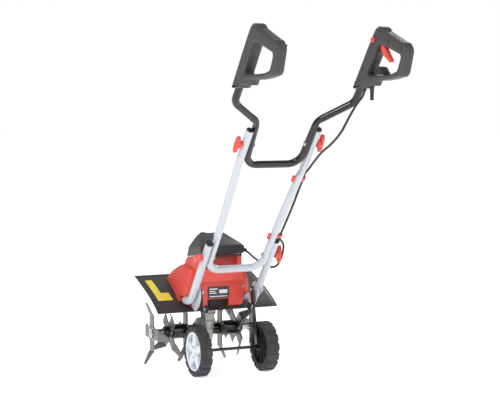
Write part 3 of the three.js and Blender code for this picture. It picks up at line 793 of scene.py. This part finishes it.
def makeWheels():
    half = wheel["width"] / 2
    tread, rim = wheel["tread"], wheel["rim"]
    for side, s in sides.items():
        centre = (s * wheel["x"], 0, axle["z"])
        flankProfile = [(-half + 3, rim + 0.3), (-half + 1.5, rim + 3), (-half + 0.6, rim + 7),
                        (-half + 1.5, tread - 3), (-half + 4, tread), (-half + 6, tread + 2.6)]
        profile = flankProfile + [(-x, radius) for x, radius in flankProfile[::-1]]
        carcass = lathe(profile, centre, count=90, closed=True)
        wide = math.radians(360 / wheel["lugs"]) * 0.32
        top = wheel["radius"]
        reach = top * math.tan(wide)
        lug = []
        for x in (-half, half):
            inner = x * 0.86
            lug += [(centre[0] + inner, d, axle["z"] - top) for d in (-reach * 0.94, reach * 0.94)]
            lug += [(centre[0] + x, d * 1.05, axle["z"] - top + 4.5) for d in (-reach, reach)]
            lug += [(centre[0] + x, d * 0.9, axle["z"] - rim - 6) for d in (-reach, reach)]
        lugs = ringOf(rounded(hull(lug, False), 1.3, 3), wheel["lugs"], (0, 0, axle["z"]), "treadRubber")
        addPiece(f"tread_{side}", joined("tread", [carcass, lugs]), "treadRubber", f"wheel_{side}",
                 f"tyre_{side}")

        outer, inner = s * (half - 2), -s * (half - 2)
        flank, deep = s * (half - 15), s * (half - 24)
        rimProfile = [(outer, rim), (outer, rim - 2), (outer - s * 1.5, rim - 5), (flank, rim - 7),
                      (deep, rim - 7), (deep, rim)]
        boss = [(outer - s * 1, 5.3), (outer - s * 1, 13.5), (outer - s * 3, 16.5), (flank, 18), (deep, 18),
                (deep, 5.3)]
        cover = [(outer + s * 1.5, 0), (outer + s * 1.3, 5), (outer + s * 0.4, 9), (outer - s * 1.6, 10.5),
                 (outer - s * 3, 10.5), (outer - s * 3, 0)]
        parts = [lathe(rimProfile, centre, count=90, closed=True), lathe(boss, centre, closed=True),
                 lathe(cover, centre, count=40)]
        x1, x2 = centre[0] + outer - s * 2, centre[0] + deep
        spoke = softCorners([(-16, 10), (16, 10), (10, rim - 5), (-10, rim - 5)], 1)
        spoke = plate([Vector((p.x, axle["z"] + p.y)) for p in spoke], x1, x2, 2)
        parts.append(ringOf(spoke, wheel["spokes"], (0, 0, axle["z"]), "whitePlastic"))
        addPiece(f"hub_{side}", joined("hub", parts), "whitePlastic", f"wheel_{side}", f"wheel_hub_{side}")

        # the hub's inner side, ribs and web are near-black: painted shade on the wheel's inward face
        rib = [(-1.4, 12), (1.4, 12), (1.4, rim - 5), (-1.4, rim - 5)]
        rib = plate([Vector((y, axle["z"] + up)) for y, up in rib], centre[0] + deep,
                    centre[0] + inner * 0.7, 0.6)
        ribs = ringOf(rib, wheel["spokes"] * 2, (0, 0, axle["z"]), "hubShade")
        web = [(deep, 14), (deep, rim - 6), (deep - s * 2, rim - 6), (deep - s * 2, 14)]
        barrel = [(deep, rim - 6), (inner, rim - 5), (inner, rim), (deep, rim)]
        innerBoss = [(deep, 5.3), (deep, 15), (inner - s * 0.5, 12), (inner - s * 0.5, 5.3)]
        parts = [ribs] + [lathe(shape, centre, count=60, closed=True) for shape in (web, barrel, innerBoss)]
        addPiece(f"hubInside_{side}", joined("hubInside", parts), "hubShade", f"wheel_{side}")
    print("wheels made")


makeWheelFrame()
makeWheels()

# ---- tines, hub tubes and gear case

tines = {"y": 245, "z": 104, "reach": 104, "stars": (62, 121.5, 181), "thick": 3.5, "half": 19, "sweep": 23}
worm = {"lean": math.radians(14), "offset": 38}
motorAxis = Vector((0, -math.sin(worm["lean"]), math.cos(worm["lean"])))
wormSpot = (0, tines["y"] - worm["offset"] * motorAxis.z, tines["z"] + worm["offset"] * motorAxis.y)


def tineArm(bend):
    # one blade, pointing up from the shaft's line, with its tip swept sideways and cut on the slant
    bm = bmesh.new()
    rows = []
    for radius in (10, 24, 38, 50, 56, 60, 64, 70, 78, 88, 97, tines["reach"] - 1.2):
        share = max(0, (radius - 60) / (tines["reach"] - 60))
        sweep = bend * tines["sweep"] * (share * 0.92 + 0.08 * ease(radius, 52, 72) if radius > 60 else 0)
        left = -tines["half"] + 3 * share
        right = tines["half"] - (tines["half"] * 2 - 17) * max(0, (radius - 58) / (tines["reach"] - 58))
        rows.append([bm.verts.new(Vector((sweep, left + (right - left) * k / 4,
                                          radius)) / 1000) for k in range(5)])
    for low, high in zip(rows, rows[1:]):
        for k in range(4):
            bm.faces.new((low[k], low[k + 1], high[k + 1], high[k]))
    flat = toMesh(bm, "arm")
    thick = {"thickness": tines["thick"] / 1000, "offset": 0, "use_even_offset": True}
    edge = {"width": 0.0007, "segments": 2, "limit_method": "ANGLE", "angle_limit": math.radians(40)}
    return modified(flat, ("SOLIDIFY", thick), ("BEVEL", edge))


def makeStar(side, s, number, x):
    turn = math.radians(45) if number == 2 else 0
    pair = [tineArm(s), tineArm(-s)]
    pair[1].transform(Matrix.Rotation(math.pi / 2, 4, "X"))
    arms = joined("arms", pair)
    arms.transform(Matrix.Rotation(turn, 4, "X"))
    arms.transform(Matrix.Translation(at(s * x, tines["y"], tines["z"])))
    origin = (0, tines["y"], tines["z"])
    arms = ringOf(arms, 2, origin, "tineSteel")
    half = tines["thick"] / 2 + 0.2
    bore = 12.3 if number == 3 else 19.3
    boss = washer(31, bore, s * x - half, s * x + half, origin, edge=0.4)
    star = joined("star", [arms, boss])
    addPiece(f"tineStar_{side}_{number}", star, "tineSteel", "tine_rotor", f"tine_star_{side}_{number}")
    bolt = hexHead(3.6, s * x - half - 2.4, s * x + half + 2.4, (0, tines["y"], tines["z"] + 25))
    bolt.transform(Matrix.Translation(-at(0, tines["y"], tines["z"])))
    bolt.transform(Matrix.Rotation(turn + math.pi / 4, 4, "X"))
    bolt.transform(Matrix.Translation(at(0, tines["y"], tines["z"])))
    addPiece(f"starBolts_{side}_{number}", ringOf(bolt, 4, origin, "brightSteel"), "brightSteel",
             "tine_rotor")


def makeRotor():
    origin = (0, tines["y"], tines["z"])
    for side, s in sides.items():
        core = facing(s, [(25, 8.3), (25, 18), (26, 19), (138, 19), (139, 18), (139, 8.3)])
        core = lathe(core, origin, closed=True)
        barrel = facing(s, [(68, 19), (68, 23), (70, 25), (112, 25), (114, 23), (114, 19)])
        barrel = lathe(barrel, origin, count=10, closed=True)
        x = tines["stars"][0]
        collar = washer(22, 19, s * (x + 3), s * (x + 9), origin)
        mesh = joined("hubTube", [core, rounded(barrel, 0.8, 2), collar])
        addPiece(f"hubTube_{side}", mesh, "blackEnamel", "tine_rotor", f"hub_tube_{side}", smooth=25)
        for number, x in enumerate(tines["stars"], 1):
            makeStar(side, s, number, x)
    shaft = [rod(8, -150, 150, origin)]
    for s in sides.values():
        shaft += [rod(12, s * 140, s * 184, origin), washer(16, 5, s * 183.5, s * 186, origin)]
        shaft.append(hexHead(8, 185.5, 188, origin, s))
    addPiece("tineShaft", joined("shaft", shaft), "brightSteel", "tine_rotor", "tine_shaft")
    print("tines made")


def makeGearCase():
    origin = (0, tines["y"], tines["z"])
    drum = lathe([(-22, 16), (-22, 26), (-20, 29), (-19, 36), (-16, 40), (-13, 41), (13, 41), (16, 40),
                  (19, 36), (20, 29), (22, 26), (22, 16)], origin, count=64, closed=True)
    neck = lathe([(-24, 0), (-24, 16), (-20, 20.5), (20, 20.5), (60, 19), (110, 20), (150, 24), (161, 34),
                  (163, 37), (170, 37), (170, 0)], wormSpot, motorAxis, 56)
    profile = [(-2.2, 16), (-2.2, 42.4), (-1.6, 43), (1.6, 43), (2.2, 42.4), (2.2, 16)]
    seam = [lathe(profile, origin, count=64, closed=True)]
    for k in range(5):
        low = 24 + k * 27
        seam.append(lathe([(low, 18), (low, 22.6), (low + 3, 22.6), (low + 3, 18)], wormSpot, motorAxis,
                          48, True))
    bolt = hexHead(4, -24.2, 24.2, (0, tines["y"], tines["z"] + 33))
    bolts = ringOf(bolt, 6, origin, "brightSteel")
    mesh = joined("gearCase", [drum, neck, *seam])
    addPiece("gearCase", mesh, "castAluminium", "chassis", "gear_case_left", "gear_case_right")
    addPiece("gearCaseBolts", bolts, "brightSteel", "chassis")
    seals = [washer(16, 8.4, s * 20, s * 23.4, origin, edge=1) for s in sides.values()]
    addPiece("shaftSeals", joined("seals", seals), "blackPlastic", "chassis")


makeRotor()
makeGearCase()

# ---- guard, housing and cap

guard = {"half": 211, "thick": 2.5, "rear": (105, 188), "bulge": (160, 232), "front": (330, 283)}


def guardLine(share):
    a, b, c = Vector(guard["rear"]), Vector(guard["bulge"]), Vector(guard["front"])
    return a.lerp(b, share).lerp(b.lerp(c, share), share)


def guardSheet(x1, x2, start, end, lift, thick, columns=24, rows=40):
    bm = bmesh.new()
    grid = []
    for i in range(columns + 1):
        x = x1 + (x2 - x1) * i / columns
        line = []
        for k in range(rows + 1):
            share = start + (end - start) * k / rows
            spot = guardLine(share)
            line.append(bm.verts.new(at(x, spot.x, spot.y + lift)))
        grid.append(line)
    for first, second in zip(grid, grid[1:]):
        for k in range(rows):
            bm.faces.new((first[k], second[k], second[k + 1], first[k + 1]))
    bm.normal_update()
    flat = bpy.data.meshes.new("sheet")
    bm.to_mesh(flat)
    bm.free()
    edge = {"width": 0.0006, "segments": 2, "limit_method": "ANGLE", "angle_limit": math.radians(50)}
    return modified(flat, ("SOLIDIFY", {"thickness": thick / 1000, "offset": -1}), ("BEVEL", edge))


def makeGuard():
    half = guard["half"]
    sheet = guardSheet(-half, half, 0, 1, guard["thick"], guard["thick"])
    sheet = boolean(sheet, [box((-27, 138, 150), (27, 222, 290))])
    lips = []
    for s in sides.values():
        lips.append(guardSheet(s * (half - 3.2), s * half, 0.0, 1, guard["thick"] + 1.0, 1.4, 3))
    lips.append(guardSheet(-half, half, 0.975, 1, guard["thick"] + 1.0, 1.4, 24, 3))
    addPiece("guardSheet", joined("guard", [sheet, *lips]), "guardPlastic", "chassis", "tine_guard",
             smooth=40)
    lift = guard["thick"] + 0.3
    label = [guardSheet(-189, -165, 0.36, 0.88, lift, 0.25, 4, 24),
             guardSheet(-165, -138, 0.36, 0.56, lift, 0.25, 4, 8)]
    addPiece("yellowLabel", joined("label", label), "yellowLabel", "chassis")


housing = {
    "skirt": [(80, 112, 198), (127, 142, 205), (109, 317, 272), (108, 108, 284), (92, 118, 326),
              (97, 200, 334), (95, 268, 310), (88, 303, 290)],
    "tower": [(83, 95, 280), (86, 245, 290), (76, 88, 373.4), (73, 206, 357.6)],
    "cap": [(75, 72, 376.3), (72, 209, 358.3), (75, 71, 405.3), (36, 168, 442.3), (44, 190, 428.3),
            (66, 208, 390.3)],
}


def underGuard(lift, depth):
    line = [guardLine(k / 24) for k in range(25)]
    return [Vector((p.x, p.y + lift)) for p in line] + [Vector((p.x, p.y - depth)) for p in line[::-1]]


def makeHousing():
    body = rounded(hull(housing["skirt"]), 9, 5, 12)
    upper = rounded(hull(housing["tower"]), 7, 5, 12)
    shell = boolean(body, [upper], "UNION")
    recess = rounded(box((-58, 60, 327), (58, 101, 380)), 4, 3)
    notch = box((-38, 90, 150), (38, 150, 225))
    below = plate(underGuard(guard["thick"] + 0.4, 120), -150, 150, 0.01)
    slots = []
    for s in sides.values():
        profile = facing(s, [(60, 0), (60, 13.5), (150, 13.5), (150, 0)])
        slots.append(lathe(profile, (0, 140, 227), count=32))
        low, high = sorted((s * 92, s * 140))
        slots.append(box((low, 60, 190), (high, 153, 240)))
    shell = boolean(shell, [recess, notch, below, *slots])
    addPiece("redShell", shell, "redPlastic", "chassis", "housing_shell", smooth=30)
    # the recess floor and its ribs: the red plastic painted darker, as painted shade inside the recess
    floor = rounded(box((-57.4, 99.2, 327.6), (57.4, 102, 372)), 0.6, 2, 60)
    ribs = [rounded(box((x - 2.4, 98.4, 330), (x + 2.4, 100.4, 370)), 0.8, 2, 60) for x in (-30, -10, 10,
                                                                                            30)]
    addPiece("recessPanel", joined("recess", [floor, *ribs]), "redRecessPaintedShade", "chassis")
    # a near-black sheet closing the notch under the rating plate: painted shade standing for the deep shadow
    # inside the notch
    inner = [rounded(box((-37.6, 121, 196), (37.6, 124, 224.8)), 0.8, 2, 60)]
    inner += [rounded(box((x - 1, 118, 198), (x + 1, 122, 222)), 0.4, 2, 60) for x in (-26, 26)]
    addPiece("underCover", joined("underCover", inner), "hubShade", "chassis")
    fields = [(-32, -4, 257, 261), (-32, -12, 250, 253), (-32, -8, 244, 247), (2, 31, 244, 256),
              (-32, 31, 233, 236)]
    fields = [rounded(box((x1, 105.1, z1), (x2, 105.6, z2)), 0.2, 2, 60) for x1, x2, z1, z2 in fields]
    addPiece("plateFields", joined("plateFields", fields), "whitePlastic", "chassis")
    rear = [at(-88, 106, 262), at(88, 106, 262)]
    made = copiesOf(crossScrew(4.2), rear, "brightSteel", (0, 0, -math.pi / 2))
    addPiece("shellScrews", made, "brightSteel", "chassis")
    plateBack = rounded(box((-37, 105.4, 229), (37, 108.5, 266)), 1.6, 3, 60)
    addPiece("ratingPlate", plateBack, "darkLabel", "chassis")


def makeCap():
    body = rounded(hull(housing["cap"]), 6, 5, 12)
    saddle = lathe([(-150, 0), (-150, 90), (150, 90), (150, 0)], (0, 130, 526), (0, 1, 0), 96)
    body = boolean(body, [saddle])
    under = [(x - 4, y + (4 if y < 100 else -4), z) for x, y, z in housing["cap"][:2]]
    hollow = hull([(x, y, z - 8) for x, y, z in under] + [(x, y, z + 12) for x, y, z in under])
    body = boolean(body, [hollow])
    addPiece("topCap", body, "capPlastic", "chassis", "motor_cap", smooth=30)
    band = hull([(76.2, 69.8, 379), (76.2, 69.8, 401.5), (75.2, 90, 378), (75.2, 90, 401)])
    band = rounded(band, 2.2, 4, 20)
    addPiece("capBand", band, "blackPlastic", "chassis")
    tooth = rounded(cube((0, 0, 0), (0.0044, 0.004, 0.013)), 0.7, 2, 60)
    spots = [at(x, 70.8, 373) for x in range(-64, 65, 8)]
    addPiece("capTeeth", copiesOf(tooth, spots, "blackPlastic"), "blackPlastic", "chassis")
    print("housing made")


makeGuard()
makeHousing()
makeCap()

# ---- knobs, bolts and clips

knobs = {"lower": {"y": -56, "z": 383, "x": 126, "turn": {"left": 1.2, "right": 0.2}},
         "upper": {"y": -354, "z": 745, "x": 121.5, "turn": {"left": 0.75, "right": 0.6}}}


def makeKnob(level, side, s):
    knob = knobs[level]
    wing = quadPoints((-9, 9), (-7, 28), (4, 29)) + quadPoints((4, 29), (12, 26), (9, 6)) + [Vector((9, 6))]
    wing += quadPoints((9, -9), (7, -28), (-4, -29)) + quadPoints((-4, -29), (-12, -26),
                                                                  (-9, -6)) + [Vector((-9, -6))]
    turn = knob["turn"][side]
    spun = [Vector((p.x * math.cos(turn) - p.y * math.sin(turn) + knob["y"],
                    p.x * math.sin(turn) + p.y * math.cos(turn) + knob["z"])) for p in wing]
    origin = (0, knob["y"], knob["z"])
    x = knob["x"]
    wings = plate(spun, s * (x + 9), s * (x + 20), 3, rounds=4)
    profile = [(0, 0), (0, 11), (1, 12), (11, 12), (16, 10), (20.5, 8), (21, 6), (21, 0)]
    neck = lathe([(s * (x + out), radius) for out, radius in profile], origin, count=32)
    node = f"{level}_knob_{side}"
    addPiece(f"{level}Wing_{side}", joined("knob", [wings, neck]), "redPlastic", node, node, smooth=45)


def makeBolts():
    for side, s in sides.items():
        low = (0, knobs["lower"]["y"], knobs["lower"]["z"])
        high = (0, knobs["upper"]["y"], knobs["upper"]["z"])
        head = lathe(facing(s, [(80, 0), (80.4, 5), (82.4, 8), (83.4, 8), (83.4, 0)]), low, count=28)
        addPiece(f"lowerBolt_{side}", head, "brightSteel", "lower_handle")
        head = lathe(facing(s, [(79.5, 0), (80, 5), (81.6, 8), (82.6, 8), (82.6, 0)]), high, count=28)
        addPiece(f"upperBolt_{side}", head, "brightSteel", "upper_handle")
        stud = rod(4, s * 114, s * 122, high)
        addPiece(f"upperStud_{side}", stud, "brightSteel", "lower_handle")
        stud = rod(4, s * 124, s * 127, low)
        addPiece(f"lowerStud_{side}", stud, "brightSteel", "chassis")


for side, s in sides.items():
    makeKnob("lower", side, s)
    makeKnob("upper", side, s)
makeBolts()

clips = {"upper": {"z": 636, "cableX": 122}, "lower": {"z": 448, "cableX": 118.5}}


def legX(z):
    (x1, z1), (x2, z2), (x3, z3) = bars["lower"]["foot"], bars["lower"]["waist"], bars["lower"]["spread"]
    return x1 + (x2 - x1) * (z - z1) / (z2 - z1) if z < z2 else x2 + (x3 - x2) * (z - z2) / (z3 - z2)


def makeClip(level):
    # a peg through the leg, with a winged head inboard and a ring for the cable outboard
    z, cableX = clips[level]["z"], clips[level]["cableX"]
    x = legX(z)
    along = Vector((0, lean["run"], 1)).normalized()
    spot = onHandle(cableX, z)
    ring = washer(7, 3.8, -7, 7, spot, along, 36, 1.4)
    lug = []
    for up in (-6, 6):
        for out in (-5, 5):
            for across in (x + 11.6, cableX - 5):
                lug.append((across, spot[1] + along.y * up + along.z * out,
                            z + along.z * up - along.y * out))
    wings = softCorners([(-5, 11.5), (5, 11.5), (4, 0), (5, -11.5), (-5, -11.5), (-4, 0)], 4)
    wings = plate([Vector((spot[1] + p.x * along.z + p.y * along.y,
                           z + p.y * along.z - p.x * along.y)) for p in wings],
                  x - 21, x - 13, 2.4, rounds=4)
    parts = [ring, rounded(hull(lug, False), 1.2, 3), wings, rod(4.4, x - 14, x - 11, (0, spot[1], z)),
             rod(3, x - 16, cableX - 5, (0, spot[1], z))]
    addPiece(f"clip_{level}", joined("clip", parts), "redPlastic", "lower_handle", f"cable_clip_{level}",
             smooth=45)


makeClip("lower")
makeClip("upper")

# ---- cable, along the same route as in the solid model

cable = {"radius": 3.5}
low, high = clips["lower"]["z"], clips["upper"]["z"]
lowX, highX = clips["lower"]["cableX"], clips["upper"]["cableX"]
cableRoutes = {
    "lower": [(76.4, 84, 386), (83, 82.6, 384), (91, 72, 377), (99, 56, 366), (108, 38, 355), (118, 20, 346),
              (129, 4, 340), (139, -8, 336), (147, -24, 342), (150.8, -42, 359), (151.2, -60, 386),
              (146.5, -77, 408), (138, -90, 422), (127, -99, 432), onHandle(lowX, low - 7.6),
              onHandle(lowX, low - 2)],
    "middle": [onHandle(lowX, low - 2), onHandle(lowX + 1, low + 20),
               (highX + 1, lean["y"] + (540 - lean["z"]) * lean["run"] + 1, 540), onHandle(highX, high - 20),
               onHandle(highX, high + 7.8)],
    "upper": [onHandle(highX, high + 7.8), onHandle(highX, high + 16), (122, -300, 665), (121, -336, 688),
              (120, -392, 720), (124, -448, 748), (132, -490, 782), (144, -512, 822), (162, -522, 858),
              (183, -524, 886), (190, -522, 905)],
}


def makeCable():
    for name, route in cableRoutes.items():
        points = [at(*point) for point in route]
        length = sum((b - a).length for a, b in zip(points, points[1:]))
        mesh = tube(smoothPath(points, round(length / 0.004)), cable["radius"], 20)
        body = "lower_handle" if name == "middle" else None
        piece = addPiece(f"cable_{name}_run", mesh, "cableSheath", body, f"cable_{name}", smooth=60)
        if name == "lower":
            at(110, 30, 350)
            at(lowX, -102, 440)
            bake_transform(piece)
        if name == "upper":
            at(highX, -262, 655)
            at(188, -522, 890)
            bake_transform(piece)
    profile = [(0, 0), (0, 6.5), (3, 6.5), (3, 5.4), (6, 5.2), (6, 6), (9, 6), (9, 5), (14, 4.8), (14, 3.4),
               (14, 0)]
    sleeve = lathe(profile, (76, 85, 386), (1, -0.15, -0.1), 24)
    addPiece("capGland", sleeve, "blackPlastic", "chassis")
    print("cable made")


makeCable()

# ---- grips

grip = {"x": gripX, "half": 18, "edge": 7}
lockButton = (0, -602, 1040)
gripOutline = [(-478, 905, 3), (-484, 918, 8), (-555, 1008, 30), (-594, 1055, 60), (-608, 1070, 14),
               (-624, 1077, 14), (-640, 1073, 10), (-652, 1062, 8), (-735, 1031, 20), (-752, 1026, 12),
               (-763, 1014, 12), (-766, 1000, 12), (-747, 945, 14), (-738, 936, 12), (-690, 929, 60),
               (-641, 926, 30), (-598, 926, 6), (-588, 912, 5), (-542, 912, 5), (-536, 905, 4)]
gripScrews = [(-633, 1063), (-683, 1033), (-756, 1012), (-543, 961), (-520, 929), (-587, 936), (-724, 944),
              (-497, 922)]
fingerOutline = [(-566, 953, 6), (-560, 946, 4), (-572, 942, 6), (-640, 941, 20), (-690, 943, 60),
                 (-722, 949, 16), (-730, 956, 12), (-746, 986, 8), (-742, 994, 8), (-652, 1022, 16),
                 (-632, 1026, 12), (-620, 1022, 10)]


def makeGrips():
    for side, s in sides.items():
        x1, x2 = s * (grip["x"] - grip["half"]), s * (grip["x"] + grip["half"])
        body = plate(softCorners(gripOutline, 8), x1, x2, grip["edge"], [softCorners(fingerOutline, 6)], 5)
        bore = tube([at(s * grip["x"], -500, 911), at(s * grip["x"], -460, 863)], 11.6)
        parts = [boolean(body, [bore])]
        collar = lathe([(-2, 11.4), (-2, 17), (0, 18), (10, 18), (14, 17), (14, 11.4)],
                       (s * grip["x"], -484, 892), (0, -0.645, 0.764), 40, True)
        if side == "right":
            cuts = [rod(8.8, 165, 184, lockButton), box((181.5, -660, 1003), (198.5, -612, 1046))]
            parts = [boolean(parts[0], cuts)]
        addPiece(f"grip_{side}", joined("grip", parts), "gripPlastic", "upper_handle",
                 f"{side}_grip_inner", f"{side}_grip_outer", smooth=40)
        screw = washer(4.4, 2.2, -0.6, 0.5, (0, 0, 0), edge=0.3, count=20)
        screw = joined("screw", [screw, rod(2.6, -1, -0.1, (0, 0, 0), edge=0.3, count=16)])
        screw.transform(Matrix.Translation((0, -axleY, 0)))
        face = s * (grip["x"] - grip["half"])
        made = copiesOf(screw, [at(face, y, z) for y, z in gripScrews], "blackPlastic")
        addPiece(f"gripScrews_{side}", made, "blackPlastic", "upper_handle")
        if side == "right":
            module = softCorners([(-572, 948), (-574, 962), (-590, 976), (-600, 996), (-614, 1004),
                                  (-622, 1026), (-600, 1036), (-556, 962), (-556, 950)], 4)
            addPiece("switchCover", plate(module, 180, 200, 2), "blackPlastic", "upper_handle")


def makeSwitch():
    lever = [Vector((-615, 1038))] + quadPoints((-618, 1026), (-624, 1004), (-642, 992))
    lever += quadPoints((-642, 992), (-660, 982), (-668, 976)) + quadPoints((-668, 976), (-676, 974),
                                                                            (-675, 984))
    lever += quadPoints((-675, 984), (-658, 999), (-646, 1016)) + [Vector((-646, 1016)),
                                                                   Vector((-632, 1040))]
    clean = [p for i, p in enumerate(lever) if (p - lever[i - 1]).length > 0.5]
    addPiece("squeezeTrigger", plate(clean, 183, 197, 2.4), "redPlastic", "trigger", "trigger", smooth=45)
    button = lathe([(165, 0), (165, 4), (165.6, 6.4), (167, 7.7), (168.5, 8), (176, 8), (176, 3), (178.6, 3),
                    (178.6, 0)],
                   lockButton, count=40)
    addPiece("roundButton", button, "redPlastic", "lock_button", "lock_button")
    hook = plate(softCorners([(-598, 942.4), (-600, 952), (-612, 966), (-628, 964), (-650, 942.4)], 3),
                 178, 202, 1.4)
    addPiece("cordHook", hook, "blackPlastic", "upper_handle", "cord_hook")
    sleeve = lathe([(0, 0), (0, 7.5), (-4, 7.5), (-5, 6.4), (-8, 6), (-8, 6.6), (-11, 6.5), (-11, 5.7),
                    (-15, 5.5), (-15, 6.1), (-18, 6), (-18, 5.3), (-22, 5.2), (-22, 5.7), (-25, 5.6),
                    (-25, 5.2), (-39.4, 5.2), (-40, 4.8), (-40, 3.6), (-6, 3.6), (-6, 0)],
                   (grip["x"], -563, 911.6), (0, 0, 1), 32)
    addPiece("inletSleeve", sleeve, "blackPlastic", "upper_handle", "inlet_sleeve")
    gland = lathe([(0, 0), (0, 6), (-2, 6), (-3, 5), (-8, 4.4), (-8, 0)], (grip["x"], -522, 906),
                  (0, 0, 1), 28)
    addPiece("gripGland", gland, "blackPlastic", "upper_handle")
    print("grips made")


makeGrips()
makeSwitch()

# ---- hidden solids keep their own shape and get a finish

nodeFinish = {"motor_stator": "brightSteel", "motor_armature": "copper", "worm_shaft": "brightSteel",
              "cooling_fan": "blackPlastic", "worm_wheel": "bronze", "shaft_bearing_left": "brightSteel",
              "shaft_bearing_right": "brightSteel", "switch_body": "blackPlastic"}
for node, finish in nodeFinish.items():
    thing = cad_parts[node]
    if not thing.material_slots:
        thing.data.materials.append(finishes[finish].material)
    for materialSlot in thing.material_slots:
        materialSlot.link = "OBJECT"
        materialSlot.material = finishes[finish].material

# ---- floor, light and camera


studio = {
    "floorGlow": 0.66,
    "softLight": 0.42,
    "lookAt": (0, 0, 0.45),
    "lights": {
        "keyLight": {"place": (-3.2, -2.0, 3.6), "size": 1.8, "power": 120},
        "fillLight": {"place": (1.2, -4.2, 1.8), "size": 2.4, "power": 30},
        "edgeLight": {"place": (3.0, 2.4, 2.6), "size": 1.6, "power": 60},
    },
    "camera": {"place": (-1684, -3896, 871), "lens": 96.6, "down": 4.24, "turn": -24.17},
}


def makeStudio():
    bm = bmesh.new()
    bmesh.ops.create_grid(bm, x_segments=1, y_segments=1, size=30)
    floor = bpy.data.objects.new("floor", toMesh(bm, "floor"))
    bpy.context.collection.objects.link(floor)
    paint = Finish("paperFloor")
    paint.put(color=(0.9, 0.9, 0.9, 1), roughness=0.9, specular=0.1)
    paint.shader.inputs["Emission Color"].default_value = (1, 1, 1, 1)
    paint.shader.inputs["Emission Strength"].default_value = studio["floorGlow"]
    floor.data.materials.append(paint.material)

    world = bpy.data.worlds.new("studio")
    bpy.context.scene.world = world
    world.use_nodes = True
    tree = world.node_tree
    paper = tree.nodes.new("ShaderNodeBackground")
    paper.inputs["Color"].default_value = (1, 1, 1, 1)
    paper.inputs["Strength"].default_value = 1.0
    soft = tree.nodes["Background"]
    soft.inputs["Color"].default_value = (1, 1, 1, 1)
    soft.inputs["Strength"].default_value = studio["softLight"]
    seen, blend = tree.nodes.new("ShaderNodeLightPath"), tree.nodes.new("ShaderNodeMixShader")
    tree.links.new(seen.outputs["Is Camera Ray"], blend.inputs[0])
    tree.links.new(soft.outputs[0], blend.inputs[1])
    tree.links.new(paper.outputs[0], blend.inputs[2])
    tree.links.new(blend.outputs[0], tree.nodes["World Output"].inputs[0])

    for name, light in studio["lights"].items():
        data = bpy.data.lights.new(name, "AREA")
        data.size = light["size"]
        data.energy = light["power"]
        lamp = bpy.data.objects.new(name, data)
        lamp.location = light["place"]
        aim = Vector(studio["lookAt"]) - lamp.location
        lamp.rotation_euler = aim.to_track_quat("-Z", "Y").to_euler()
        bpy.context.collection.objects.link(lamp)

    view = studio["camera"]
    camera = bpy.data.objects.new("camera", bpy.data.cameras.new("camera"))
    camera.data.lens = view["lens"]
    camera.data.sensor_width = 36
    camera.data.clip_end = 100
    camera.location = at(*view["place"])
    camera.rotation_euler = (math.radians(90 - view["down"]), 0, math.radians(view["turn"]))
    bpy.context.collection.objects.link(camera)
    bpy.context.scene.camera = camera
    bpy.context.scene.view_settings.view_transform = "Standard"


makeStudio()
